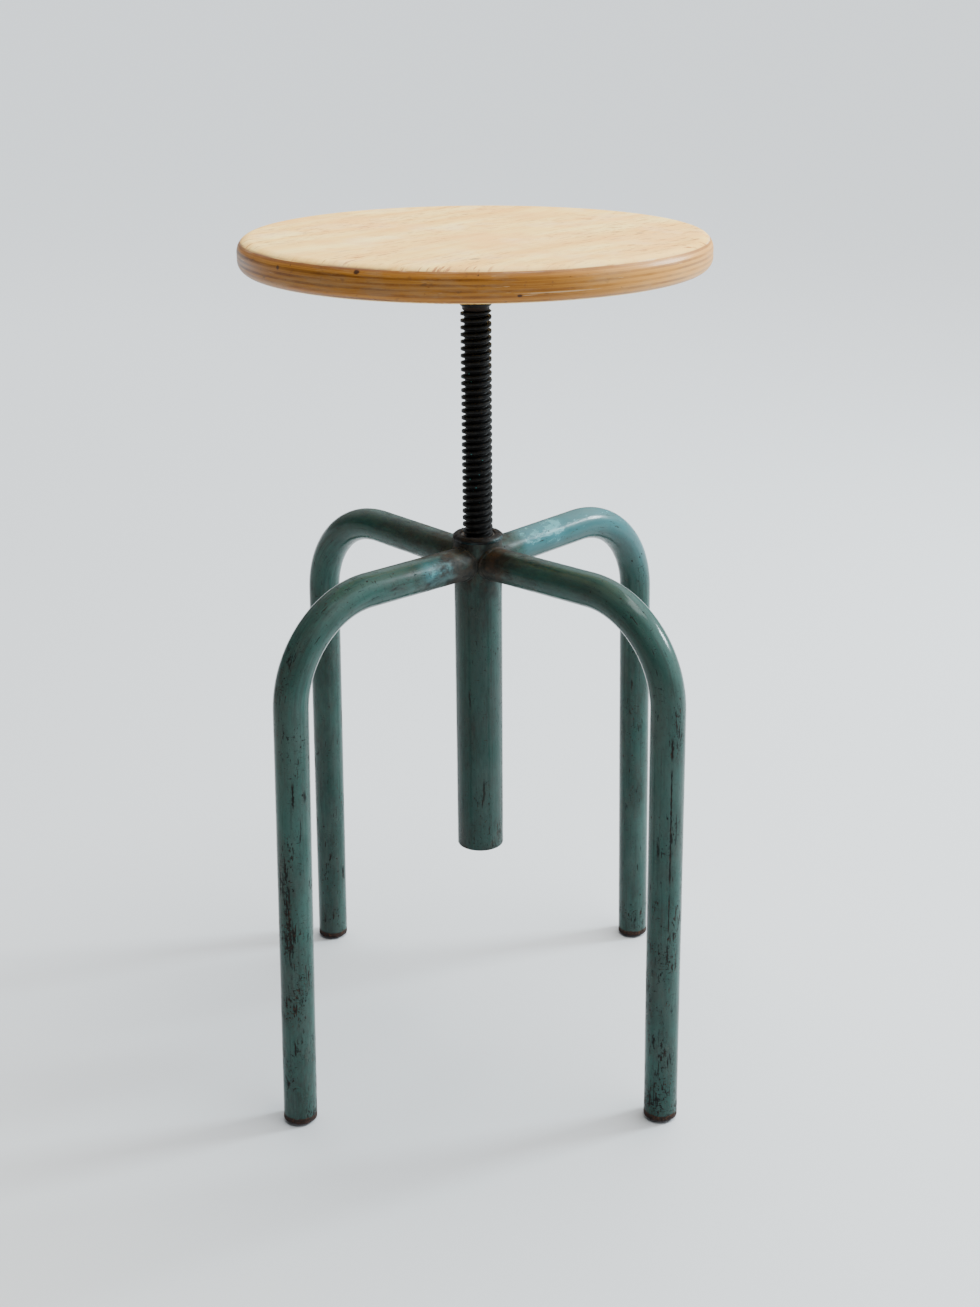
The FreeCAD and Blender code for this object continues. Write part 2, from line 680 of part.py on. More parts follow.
def make_leg_weld(side, angle):
    # bead in the corner between the leg and the column, kept to its own quarter
    post = doc.addObject("Part::Cylinder", "weld_post_" + side)
    bind(post, "Radius", dim("column_dia") / 2.0)
    bind(post, "Height", dim("leg_dia") * 2.4)
    post.Placement = Placement(Vector(0, 0, VALUE["run_z"] - 1.2 * VALUE["leg_dia"]), Rotation())
    post.setExpression(".Placement.Base.z", (dim("run_z") - dim("leg_dia") * 1.2).text)
    arm = doc.addObject("Part::Cylinder", "weld_arm_" + side)
    bind(arm, "Radius", dim("leg_dia") / 2.0)
    arm.Height = 40.0
    # cylinder axis turned from +Z to the run's direction
    arm.Placement = Placement(Vector(0, 0, VALUE["run_z"]), Rotation(Vector(0, 1, 0), 90.0 - VALUE["leg_tilt"]))
    arm.setExpression(".Placement.Base.z", dim("run_z").text)
    arm.setExpression(".Placement.Rotation.Angle", "(90 - Dimensions.leg_tilt) * 1 deg")
    joined = doc.addObject("Part::Fuse", "weld_joined_" + side)
    joined.Base = post
    joined.Tool = arm
    doc.recompute()
    edges = []
    col_r = VALUE["column_dia"] / 2.0
    for i, edge in enumerate(joined.Shape.Edges, start=1):
        pts = edge.discretize(9)
        on_post = all(abs(math.hypot(p.x, p.y) - col_r) < 1e-3 for p in pts)
        swing = max(p.z for p in pts) - min(p.z for p in pts)
        level = all(abs(p.z - pts[0].z) < 1e-6 for p in pts)
        straight = edge.Curve.TypeId == "Part::GeomLine"
        if on_post and not level and not straight and swing > 1.0:
            edges.append(i)
    bevel = doc.addObject("Part::Chamfer", "weld_bevel_" + side)
    bevel.Base = joined
    size = VALUE["leg_weld"]
    bevel.Edges = [(i, size, size) for i in edges]
    quarter = doc.addObject("Part::Box", "weld_quarter_" + side)
    quarter.Length = 60.0
    quarter.Width = 60.0
    bind(quarter, "Height", dim("leg_dia") * 4.0)
    quarter.Placement = Placement(Vector(0, 0, VALUE["run_z"] - 2.0 * VALUE["leg_dia"]), Rotation(Vector(0, 0, 1), -45.0))
    quarter.setExpression(".Placement.Base.z", (dim("run_z") - dim("leg_dia") * 2.0).text)
    kept = doc.addObject("Part::Common", "weld_kept_" + side)
    kept.Base = bevel
    kept.Tool = quarter
    less_post = doc.addObject("Part::Cut", "weld_less_post_" + side)
    less_post.Base = kept
    less_post.Tool = post
    final = doc.addObject("Part::Cut", "leg_weld_" + side)
    final.Base = less_post
    final.Tool = arm
    doc.recompute()
    finish_part(final, "leg_weld_" + side, about_z(angle))
    doc.recompute()
    return final


for side, angle in SIDES:
    make_leg(side, angle)
for side, angle in SIDES:
    make_leg_weld(side, angle)
for side, angle in SIDES:
    make_foot(side, angle)

# ----------------------------------------------------------------------------------
# Guide disc: rides on the spindle's journal, centres its lower end in the column and
# stops it under the bush
# ----------------------------------------------------------------------------------
disc = new_body("guide_disc")
sk = new_sketch(disc, "disc_profile", "XZ_Plane")
d_in = dim("disc_bore") / 2.0
d_out = dim("disc_dia") / 2.0
d_low = dim("disc_low_z")
d_high = dim("disc_low_z") + dim("disc_thick")
add_polygon(sk, [
    (d_in, d_low), (d_out - 0.7, d_low), (d_out, d_low + 0.7), (d_out, d_high - 0.7),
    (d_out - 0.7, d_high), (d_in, d_high),
])
revolve(disc, sk, "disc_turned")
doc.recompute()
finish_part(disc, "guide_disc", about_z(0))

# End washer under the journal
washer = new_body("end_washer")
w_high = dim("spindle_low_z")
w_low = w_high - dim("washer_thick")
sk = new_sketch(washer, "washer_outline", "XY_Plane", w_low)
add_circle(sk, dim("washer_dia"))
add_circle(sk, dim("washer_bore"))
pad(washer, sk, dim("washer_thick"), "washer_pad")
doc.recompute()
finish_part(washer, "end_washer", about_z(0))

# Spring lock washer with its split
lock = new_body("lock_washer")
l_low = w_low - dim("lock_thick")
sk = new_sketch(lock, "lock_outline", "XY_Plane", l_low)
add_circle(sk, dim("lock_dia"))
add_circle(sk, dim("washer_bore"))
pad(lock, sk, dim("lock_thick"), "lock_pad")
doc.recompute()
sk = new_sketch(lock, "lock_split_outline", "XY_Plane", l_low)
half = dim("lock_split") / 2.0
add_polygon(sk, [
    (1.0, -half), (dim("lock_dia"), -half), (dim("lock_dia"), half), (1.0, half),
])
cut = lock.newObject("PartDesign::Pocket", "lock_split_cut")
cut.Profile = sk
cut.Reversed = True
bind(cut, "Length", dim("lock_thick"))
doc.recompute()
finish_part(lock, "lock_washer", about_z(0))

# Hexagon-head stop bolt
bolt = new_body("stop_bolt")
b_seat = l_low
b_low = b_seat - dim("bolt_head")
sk = new_sketch(bolt, "bolt_head_outline", "XY_Plane", b_low)
corner = VALUE["bolt_flats"] / math.sqrt(3.0)
across = dim("bolt_flats") * (1.0 / math.sqrt(3.0))
hexagon = []
for k in range(6):
    ang = math.radians(30.0 + 60.0 * k)
    hexagon.append((across * math.cos(ang), across * math.sin(ang)) if abs(math.cos(ang)) > 1e-9 else (0.0, across * math.sin(ang)))
add_polygon(sk, hexagon)
pad(bolt, sk, dim("bolt_head"), "bolt_head_pad")
doc.recompute()
sk = new_sketch(bolt, "bolt_shank_outline", "XY_Plane", b_seat)
add_circle(sk, dim("bolt_dia"))
pad(bolt, sk, dim("bolt_run"), "bolt_shank_pad")
doc.recompute()
sk = new_sketch(bolt, "bolt_crown_profile", "XZ_Plane")
add_polygon(sk, [
    (across * 0.84, b_low - 1.0),
    (across * 0.84, b_low),
    (across + 0.5, b_low + (across * 0.16 + 0.5) * 0.58),
    (across + 0.5, b_low - 1.0),
])
revolve(bolt, sk, "bolt_crown_cut", "PartDesign::Groove")
doc.recompute()
finish_part(bolt, "stop_bolt", about_z(0))

# ----------------------------------------------------------------------------------
# Checks, then one STEP file for each sub-part
# ----------------------------------------------------------------------------------
doc.recompute()
problems = []
for obj in doc.Objects:
    for state in obj.State:
        if state in ("Invalid", "Error"):
            problems.append("%s: %s" % (obj.Name, state))
for label, obj in SUB_PARTS:
    shape = obj.Shape
    if shape.isNull() or not shape.isValid():
        problems.append("%s: null or invalid shape" % label)
    elif shape.Volume <= 0:
        problems.append("%s: no volume" % label)
if problems:
    raise RuntimeError("; ".join(problems))

for label, obj in SUB_PARTS:
    shape = obj.Shape
    box = shape.optimalBoundingBox()
    print("%-24s solids %d  volume %9.1f  x %7.2f..%7.2f  y %7.2f..%7.2f  z %7.2f..%7.2f" % (
        label, len(shape.Solids), shape.Volume,
        box.XMin, box.XMax, box.YMin, box.YMax, box.ZMin, box.ZMax))
    shape.exportStep("parts/%s.step" % label)
print("sub-parts", len(SUB_PARTS))
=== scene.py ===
import math

import bpy
import numpy as np
from mathutils import Matrix, Vector, noise


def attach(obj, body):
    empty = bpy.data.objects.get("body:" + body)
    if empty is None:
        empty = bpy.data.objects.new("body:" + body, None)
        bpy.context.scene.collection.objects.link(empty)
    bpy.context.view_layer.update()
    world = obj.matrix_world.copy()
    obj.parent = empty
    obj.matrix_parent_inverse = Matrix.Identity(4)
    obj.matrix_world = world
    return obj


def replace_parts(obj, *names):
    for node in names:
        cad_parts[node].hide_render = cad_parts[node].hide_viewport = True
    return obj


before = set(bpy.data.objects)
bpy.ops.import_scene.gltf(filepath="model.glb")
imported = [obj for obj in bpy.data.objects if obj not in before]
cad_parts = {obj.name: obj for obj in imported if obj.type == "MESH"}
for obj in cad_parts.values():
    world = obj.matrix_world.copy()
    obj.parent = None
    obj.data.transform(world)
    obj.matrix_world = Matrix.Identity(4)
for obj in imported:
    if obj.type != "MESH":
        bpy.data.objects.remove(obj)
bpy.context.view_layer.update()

MM = 0.001

# --------------------------------------------------------------------------------------
# sizes of the stool, in millimetres, as in the CAD
# --------------------------------------------------------------------------------------
SEAT_R, SEAT_LOW, SEAT_TOP = 165.0, 613.5, 636.5
COL_R, COL_WALL, COL_LOW, COL_HIGH = 18.0, 2.5, 162.5, 416.2
LEG_R, LEG_WALL, RUN_Z, BEND_R, FOOT_R = 12.5, 2.0, 397.4, 71.5, 191.0
TILT = math.radians(1.5)
FOOT_GAP = 3.2
PITCH, THREAD_R, ROOT_R = 5.0, 11.22, 8.42
LEGS = {"front_left": 225.0, "front_right": 315.0, "back_left": 135.0, "back_right": 45.0}

rng = np.random.default_rng(7)


def smoothstep(a, b, x):
    t = np.clip((np.asarray(x, float) - a) / (b - a), 0.0, 1.0)
    return t * t * (3.0 - 2.0 * t)


def n3(x, y, z):
    return noise.noise(Vector((x, y, z)))


# --------------------------------------------------------------------------------------
# mesh helpers
# --------------------------------------------------------------------------------------
def new_object(name, verts, faces, smooth=True, attrs=None, angle=None):
    me = bpy.data.meshes.new(name)
    me.from_pydata([tuple(v) for v in verts], [], [tuple(int(i) for i in f) for f in faces])
    me.validate(verbose=False)
    me.update()
    if smooth:
        me.polygons.foreach_set("use_smooth", [True] * len(me.polygons))
    for key, (kind, data) in (attrs or {}).items():
        a = me.attributes.new(key, kind, "POINT")
        data = np.asarray(data, np.float32)
        a.data.foreach_set("vector" if kind == "FLOAT_VECTOR" else "value", data.ravel())
    ob = bpy.data.objects.new(name, me)
    bpy.context.scene.collection.objects.link(ob)
    if angle is not None:
        for e in me.edges:
            pass
        me.set_sharp_from_angle(angle=math.radians(angle))
    return ob


def grid_faces(rows, cols, wrap=True, base=0, flip=False):
    faces = []
    span = cols if wrap else cols - 1
    for i in range(rows - 1):
        for j in range(span):
            a = base + i * cols + j
            b = base + i * cols + (j + 1) % cols
            c = base + (i + 1) * cols + (j + 1) % cols
            d = base + (i + 1) * cols + j
            faces.append((a, d, c, b) if flip else (a, b, c, d))
    return faces


def lathe(name, profile, seg, closed=False, jitter=None, angle=35):
    """Turned piece: profile is a list of (r, z) in mm, bottom axis to top axis or closed ring."""
    verts, rows = [], []
    for r, z in profile:
        if r < 1e-6:
            rows.append([len(verts)])
            verts.append((0.0, 0.0, z * MM))
            continue
        row = []
        for j in range(seg):
            a = 2.0 * math.pi * j / seg
            rr, zz = r, z
            if jitter is not None:
                dr, dz = jitter(a, r, z)
                rr, zz = r + dr, z + dz
            row.append(len(verts))
            verts.append((rr * math.cos(a) * MM, rr * math.sin(a) * MM, zz * MM))
        rows.append(row)
    faces = []
    pairs = list(zip(rows[:-1], rows[1:]))
    if closed:
        pairs.append((rows[-1], rows[0]))
    for lo, hi in pairs:
        if len(lo) == 1 and len(hi) == 1:
            continue
        for j in range(seg):
            k = (j + 1) % seg
            if len(lo) == 1:
                faces.append((lo[0], hi[k], hi[j]))
            elif len(hi) == 1:
                faces.append((lo[j], lo[k], hi[0]))
            else:
                faces.append((lo[j], lo[k], hi[k], hi[j]))
    return new_object(name, verts, faces, angle=angle)


# --------------------------------------------------------------------------------------
# material helpers
# --------------------------------------------------------------------------------------
class Net:
    def __init__(self, name):
        self.mat = bpy.data.materials.new(name)
        self.mat.use_nodes = True
        self.nt = self.mat.node_tree
        self.nt.nodes.clear()
        self.out = self.nt.nodes.new("ShaderNodeOutputMaterial")
        self.bsdf = self.nt.nodes.new("ShaderNodeBsdfPrincipled")
        self.nt.links.new(self.bsdf.outputs[0], self.out.inputs[0])

    def new(self, kind):
        return self.nt.nodes.new(kind)

    def put(self, socket, value):
        if value is None:
            return
        if isinstance(value, bpy.types.NodeSocket):
            self.nt.links.new(value, socket)
        elif isinstance(value, (tuple, list)):
            if socket.type == "RGBA" and len(value) == 3:
                value = tuple(value) + (1.0,)
            socket.default_value = value
        else:
            socket.default_value = value

    def set(self, name, value):
        self.put(self.bsdf.inputs[name], value)

    def attr(self, name):
        n = self.new("ShaderNodeAttribute")
        n.attribute_name = name
        return n

    def coords(self):
        return self.new("ShaderNodeTexCoord").outputs["Object"]

    def vec(self, v, scale=(1, 1, 1), loc=(0, 0, 0), rot=(0, 0, 0)):
        n = self.new("ShaderNodeMapping")
        self.put(n.inputs["Vector"], v)
        n.inputs["Scale"].default_value = scale
        n.inputs["Location"].default_value = loc
        n.inputs["Rotation"].default_value = rot
        return n.outputs[0]

    def split(self, v):
        n = self.new("ShaderNodeSeparateXYZ")
        self.put(n.inputs[0], v)
        return n.outputs

    def join(self, x, y, z):
        n = self.new("ShaderNodeCombineXYZ")
        self.put(n.inputs[0], x), self.put(n.inputs[1], y), self.put(n.inputs[2], z)
        return n.outputs[0]

    def m(self, op, a, b=None, c=None, clamp=False):
        n = self.new("ShaderNodeMath")
        n.operation = op
        n.use_clamp = clamp
        self.put(n.inputs[0], a), self.put(n.inputs[1], b)
        if c is not None:
            self.put(n.inputs[2], c)
        return n.outputs[0]

    def noise(self, v, scale=10.0, detail=3.0, rough=0.5, dist=0.0, color=False):
        n = self.new("ShaderNodeTexNoise")
        self.put(n.inputs["Vector"], v)
        n.inputs["Scale"].default_value = scale
        n.inputs["Detail"].default_value = detail
        n.inputs["Roughness"].default_value = rough
        n.inputs["Distortion"].default_value = dist
        return n.outputs["Color" if color else "Fac"]

    def voronoi(self, v, scale=10.0, feature="F1", out="Distance", rand=1.0):
        n = self.new("ShaderNodeTexVoronoi")
        n.feature = feature
        self.put(n.inputs["Vector"], v)
        n.inputs["Scale"].default_value = scale
        n.inputs["Randomness"].default_value = rand
        return n.outputs[out]

    def range(self, v, a, b, c=0.0, d=1.0, smooth=False):
        n = self.new("ShaderNodeMapRange")
        n.interpolation_type = "SMOOTHSTEP" if smooth else "LINEAR"
        n.clamp = True
        self.put(n.inputs[0], v)
        n.inputs[1].default_value, n.inputs[2].default_value = a, b
        n.inputs[3].default_value, n.inputs[4].default_value = c, d
        return n.outputs[0]

    def mix(self, fac, a, b, blend="MIX"):
        n = self.new("ShaderNodeMix")
        n.data_type = "RGBA"
        n.blend_type = blend
        n.clamp_factor = True
        self.put(n.inputs[0], fac), self.put(n.inputs[6], a), self.put(n.inputs[7], b)
        return n.outputs[2]

    def mixf(self, fac, a, b):
        n = self.new("ShaderNodeMix")
        n.data_type = "FLOAT"
        n.clamp_factor = True
        self.put(n.inputs[0], fac), self.put(n.inputs[2], a), self.put(n.inputs[3], b)
        return n.outputs[0]

    def ramp(self, fac, stops):
        n = self.new("ShaderNodeValToRGB")
        self.put(n.inputs[0], fac)
        el = n.color_ramp.elements
        el[0].position, el[0].color = stops[0][0], tuple(stops[0][1]) + (1.0,)
        el[1].position, el[1].color = stops[-1][0], tuple(stops[-1][1]) + (1.0,)
        for p, c in stops[1:-1]:
            e = el.new(p)
            e.color = tuple(c) + (1.0,)
        return n.outputs[0]

    def bump(self, height, strength=0.3, distance=0.001, normal=None):
        n = self.new("ShaderNodeBump")
        n.inputs["Strength"].default_value = strength
        n.inputs["Distance"].default_value = distance
        self.put(n.inputs["Height"], height)
        if normal is not None:
            self.put(n.inputs["Normal"], normal)
        return n.outputs[0]


def srgb(r, g, b):
    def f(c):
        c /= 255.0
        return c / 12.92 if c <= 0.04045 else ((c + 0.055) / 1.055) ** 2.4
    return (f(r), f(g), f(b))


# --------------------------------------------------------------------------------------
# teal paint on the steel tubes. Reads three things from the mesh:
#   tube  (x, y round the section, z along the tube), metres
#   wear  how chipped, 0 to 1      grime_and_shade  how dirty, and painted shade at the column's top, 0 to 1      fade  worn thin, and a painted sheen on the back right leg, 0 to 1
# --------------------------------------------------------------------------------------
TEAL_A = (0.0250, 0.0850, 0.0730)
TEAL_B = (0.0150, 0.0520, 0.0440)
DIRT = (0.0210, 0.0200, 0.0160)
GRIME_AND_SHADE_A = (0.036, 0.028, 0.022)
GRIME_AND_SHADE_B = (0.0095, 0.0080, 0.0070)


def paint_material(name, seed=0.0, strokes=(), shade=0.0):
    t = Net(name)
    tube = t.attr("tube").outputs["Vector"]
    wear = t.attr("wear").outputs["Fac"]
    grime_and_shade = t.attr("grime_and_shade").outputs["Fac"]
    fade = t.attr("fade").outputs["Fac"]
    rust = t.attr("rust").outputs["Fac"]
    co = t.vec(tube, loc=(seed, seed * 1.7, seed * 0.3))

    # slow tone change over the enamel
    slow = t.noise(t.vec(co, scale=(1, 1, 0.4)), scale=32.0, detail=4.0, rough=0.55)
    colour = t.mix(t.range(slow, 0.34, 0.66), TEAL_B, TEAL_A)
    # handling dirt: clouds, long runs down the tube, and a fine freckle
    cloud = t.noise(t.vec(co, scale=(1, 1, 0.45)), scale=44.0, detail=6.0, rough=0.68)
    dirty = t.range(t.m("ADD", cloud, t.m("MULTIPLY", wear, 0.13)), 0.50, 0.70)
    grain = t.noise(t.vec(co, scale=(1, 1, 0.22)), scale=520.0, detail=4.0, rough=0.68)
    smear = t.m("MULTIPLY", dirty, t.range(grain, 0.36, 0.60, 0.35, 1.0))
    colour = t.mix(t.m("MULTIPLY", smear, 0.66), colour, DIRT)
    streak = t.noise(t.vec(co, scale=(1, 1, 0.035)), scale=430.0, detail=3.0, rough=0.6)
    colour = t.mix(t.range(streak, 0.54, 0.66, 0.0, 0.42), colour, (0.0100, 0.0190, 0.0160))
    pale = t.noise(t.vec(co, scale=(1, 1, 0.05), loc=(4, 2, 1)), scale=330.0, detail=3.0, rough=0.6)
    colour = t.mix(t.range(pale, 0.58, 0.70, 0.0, 0.30), colour, (0.036, 0.096, 0.086))
    freckle = t.noise(co, scale=1250.0, detail=2.0, rough=0.5)
    colour = t.mix(t.range(freckle, 0.62, 0.70, 0.0, 0.55), colour, (0.0065, 0.0085, 0.0070))

    # painted sheen: a smooth pale turquoise tint wherever fade is set, standing for the right window's highlight on the
    # back right leg
    colour = t.mix(t.range(fade, 0.0, 1.0, 0.0, 0.75), colour, (0.055, 0.255, 0.310))

    dust = t.noise(t.vec(co, scale=(1, 1, 0.3)), scale=70.0, detail=5.0, rough=0.65)
    colour = t.mix(t.range(dust, 0.38, 0.64, 0.06, 0.26), colour, (0.110, 0.125, 0.115))

    # worn thin: paler turquoise undercoat with ragged edges
    rag = t.noise(t.vec(co, scale=(1, 1, 0.55)), scale=230.0, detail=7.0, rough=0.70)
    fade_mask = t.range(t.m("ADD", t.m("MULTIPLY", fade, 0.50), rag), 0.84, 0.90)
    fade_tone = t.mix(t.range(grain, 0.35, 0.65), (0.070, 0.235, 0.255), (0.105, 0.310, 0.335))
    colour = t.mix(fade_mask, colour, fade_tone)
    # grime near the hub, and painted shade: the column's top under the hub is darkened with this grime colour
    grime_noise = t.noise(t.vec(co, scale=(1, 1, 0.6)), scale=95.0, detail=7.0, rough=0.68)
    grime_and_shade_mask = t.range(t.m("ADD", grime_and_shade, t.m("MULTIPLY", t.m("SUBTRACT", grime_noise, 0.5), 1.9)), 0.25, 0.80)
    grime_and_shade_colour = t.mix(t.range(t.noise(co, scale=160.0, detail=5.0, rough=0.65), 0.38, 0.62), GRIME_AND_SHADE_B, GRIME_AND_SHADE_A)
    grime_and_shade_colour = t.mix(t.range(t.noise(co, scale=75.0, detail=4.0), 0.52, 0.66, 0.0, 0.55), grime_and_shade_colour, (0.066, 0.030, 0.015))
    colour = t.mix(t.m("MULTIPLY", grime_and_shade_mask, 0.90), colour, grime_and_shade_colour)

    # chips: flakes, dashes down the tube and a few across it, thicker where the tube is worn
    where = t.noise(t.vec(co, scale=(1, 1, 0.5)), scale=52.0, detail=3.0, rough=0.6)
    amount = t.m("MULTIPLY", wear, t.range(where, 0.36, 0.62, 0.16, 1.0))
    flake = t.noise(t.vec(co, scale=(1, 1, 0.55)), scale=600.0, detail=5.0, rough=0.64, dist=0.3)
    dash = t.noise(t.vec(co, scale=(1, 1, 0.10)), scale=700.0, detail=4.0, rough=0.62)
    cross = t.noise(t.vec(co, scale=(0.30, 0.30, 1.5), loc=(7, 1, 3)), scale=760.0, detail=3.0, rough=0.6)
    d1 = t.m("ADD", flake, t.m("MULTIPLY", amount, 0.250))
    d2 = t.m("ADD", dash, t.m("MULTIPLY", amount, 0.230))
    d3 = t.m("ADD", cross, t.m("MULTIPLY", amount, 0.150))
    chip1, chip2, chip3 = t.range(d1, 0.730, 0.744), t.range(d2, 0.724, 0.740), t.range(d3, 0.718, 0.732)
    halo = t.m("MAXIMUM", t.range(d1, 0.700, 0.720), t.range(d2, 0.696, 0.714))
    spot = t.voronoi(t.vec(co, scale=(1, 1, 0.7)), scale=120.0)
    dots = t.range(t.m("ADD", spot, t.m("MULTIPLY", t.noise(co, scale=1400.0, detail=2.0), 0.12)), 0.150, 0.130)
    dots = t.m("MULTIPLY", dots, t.range(t.noise(co, scale=61.0, detail=1.0), 0.50, 0.55))
    chips = t.m("MAXIMUM", t.m("MAXIMUM", chip1, chip2), t.m("MAXIMUM", chip3, dots))

    # single scratches: (angle in degrees, start, end, half width, wander, strength), metres
    xyz = t.split(tube)
    theta = t.m("ARCTAN2", xyz[1], xyz[0])
    along = xyz[2]
    for k, (deg, s0, s1, half, wander, power) in enumerate(strokes):
        centre = math.radians(deg)
        wob = t.noise(t.join(seed + k * 3.1, 0.0, along), scale=60.0, detail=4.0, rough=0.6)
        gap = t.m("SUBTRACT", theta, t.m("ADD", t.m("MULTIPLY", t.m("SUBTRACT", wob, 0.5), wander), centre))
        n = t.new("ShaderNodeMath")
        n.operation = "WRAP"
        t.put(n.inputs[0], gap)
        n.inputs[1].default_value, n.inputs[2].default_value = math.pi, -math.pi
        gap = t.m("MULTIPLY", t.m("ABSOLUTE", n.outputs[0]), LEG_R * MM)
        ragged = t.m("MULTIPLY", t.m("SUBTRACT", t.noise(t.vec(co, scale=(1, 1, 0.30)), scale=1100.0, detail=3.0, rough=0.65), 0.5), half * 3.4)
        inside = t.range(t.m("ADD", gap, ragged), half * 1.20, half * 0.85)
        ends = t.m("MULTIPLY", t.range(along, s0 - 0.003, s0 + 0.002), t.range(along, s1 + 0.003, s1 - 0.002))
        chips = t.m("MAXIMUM", chips, t.m("MULTIPLY", t.m("MULTIPLY", inside, ends), power))

    colour = t.mix(t.m("MULTIPLY", halo, t.m("SUBTRACT", 0.30, t.m("MULTIPLY", grime_and_shade_mask, 0.3))), colour, (0.040, 0.120, 0.106))
    rust_tone = t.ramp(t.noise(co, scale=520.0, detail=4.0, rough=0.6),
                       [(0.34, (0.0065, 0.0050, 0.0045)), (0.54, (0.0150, 0.0090, 0.0065)), (0.70, (0.055, 0.022, 0.012))])
    bare = t.mix(t.range(t.noise(co, scale=75.0, detail=2.0), 0.40, 0.60), (0.0055, 0.0055, 0.0055), rust_tone)
    colour = t.mix(t.m("MULTIPLY", chips, 0.95), colour, bare)

    # rust that creeps up from the foot and stains the enamel
    creep = t.noise(t.vec(co, scale=(1, 1, 0.8)), scale=260.0, detail=5.0, rough=0.7)
    rust_mask = t.range(t.m("ADD", rust, t.m("MULTIPLY", t.m("SUBTRACT", creep, 0.5), 1.1)), 0.44, 0.54)
    rust_col = t.ramp(t.noise(co, scale=640.0, detail=5.0, rough=0.65),
                      [(0.30, (0.0080, 0.0050, 0.0045)), (0.52, (0.030, 0.0125, 0.0090)), (0.70, (0.105, 0.040, 0.018))])
    colour = t.mix(t.m("MULTIPLY", rust_mask, 0.90), colour, rust_col)

    # painted shade: mixes the whole colour towards near-black by this amount, giving a darker copy of the same paint
    if shade:
        colour = t.mix(shade, colour, (0.0050, 0.0065, 0.0050))

    dull = t.m("MAXIMUM", t.m("MAXIMUM", chips, rust_mask), t.m("MULTIPLY", grime_and_shade_mask, 0.80))
    gloss = t.range(t.noise(co, scale=95.0, detail=4.0, rough=0.6), 0.3, 0.7, 0.11, 0.21)
    gloss = t.m("ADD", gloss, t.m("ADD", t.m("MULTIPLY", fade_mask, 0.12), t.m("MULTIPLY", smear, 0.10)))
    t.set("Base Color", colour)
    t.set("Roughness", t.mixf(dull, gloss, 0.74))
    t.bsdf.inputs["Specular IOR Level"].default_value = 0.15
    peel = t.noise(co, scale=420.0, detail=2.0, rough=0.5)
    height = t.m("SUBTRACT", t.m("MULTIPLY", peel, 0.14), t.m("MULTIPLY", t.m("MAXIMUM", chips, t.m("MULTIPLY", fade_mask, 0.5)), 0.55))
    height = t.m("ADD", height, t.m("MULTIPLY", t.m("MULTIPLY", rust_mask, creep), 0.6))
    t.set("Normal", t.bump(height, strength=0.5, distance=0.00035))
    return t.mat


def dark_metal(name, base=(0.012, 0.012, 0.013), light=(0.030, 0.030, 0.032), rough=(0.34, 0.52), rust=0.0, metallic=0.0, scale=1.0):
    t = Net(name)
    co = t.coords()
    a = t.noise(co, scale=260.0 * scale, detail=5.0, rough=0.62)
    colour = t.mix(t.range(a, 0.35, 0.68), base, light)
    if rust > 0.0:
        r = t.noise(co, scale=330.0 * scale, detail=6.0, rough=0.7)
        colour = t.mix(t.range(r, 0.62 - 0.25 * rust, 0.70 - 0.20 * rust, 0.0, 0.9), colour,
                       t.ramp(t.noise(co, scale=900.0, detail=3.0), [(0.3, (0.030, 0.014, 0.009)), (0.7, (0.120, 0.050, 0.022))]))
    t.set("Base Color", colour)
    t.set("Roughness", t.range(t.noise(co, scale=480.0 * scale, detail=3.0), 0.3, 0.7, rough[0], rough[1]))
    t.bsdf.inputs["Metallic"].default_value = metallic
    t.set("Normal", t.bump(t.noise(co, scale=1400.0 * scale, detail=3.0, rough=0.6), strength=0.22, distance=0.00025))
    return t.mat


def zinc_metal(name):
    t = Net(name)
    co = t.coords()
    a = t.noise(co, scale=340.0, detail=5.0, rough=0.6)
    colour = t.ramp(a, [(0.30, (0.30, 0.30, 0.29)), (0.55, (0.46, 0.46, 0.45)), (0.75, (0.56, 0.55, 0.52))])
    stain = t.noise(co, scale=170.0, detail=5.0, rough=0.7)
    colour = t.mix(t.range(stain, 0.58, 0.72, 0.0, 0.7), colour, (0.16, 0.10, 0.06))
    t.set("Base Color", colour)
    t.bsdf.inputs["Metallic"].default_value = 0.9
    t.set("Roughness", t.range(stain, 0.35, 0.70, 0.36, 0.62))
    t.set("Normal", t.bump(t.noise(co, scale=1700.0, detail=2.0), strength=0.2, distance=0.0002))
    return t.mat


# --------------------------------------------------------------------------------------
# plywood: the face veneer above, the plies round the edge
# --------------------------------------------------------------------------------------
TOP_MARKS = (    # place x, y, half length, half width in metres, turn, strength
    (0.0010, -0.1278, 0.0040, 0.0022, 0.60, 0.85),
    (0.1138, -0.0107, 0.0032, 0.0020, 0.30, 0.80),
    (-0.0600, 0.0850, 0.0020, 0.0014, 0.50, 0.45),
    (0.0420, -0.1330, 0.0090, 0.0007, 0.15, 0.45),
    (-0.0850, -0.0900, 0.0120, 0.0008, 0.85, 0.40),
)
SEAT_MARKS = (   # degrees round the edge, height, half length, half height in metres, colour, strength
    (-116.1, 0.6318, 0.0022, 0.0014, (0.050, 0.022, 0.012), 0.95),
    (-80.0, 0.6190, 0.0018, 0.0010, (0.040, 0.018, 0.010), 0.90),
    (-71.0, 0.6205, 0.0260, 0.0004, (0.620, 0.430, 0.240), 0.70),
    (-139.5, 0.6290, 0.0016, 0.0016, (0.060, 0.034, 0.018), 0.85),
    (-111.0, 0.6205, 0.0130, 0.0030, (0.290, 0.190, 0.110), 0.35),
)
GRAIN = math.radians(52.0)   # direction of the face grain, from +X towards +Y


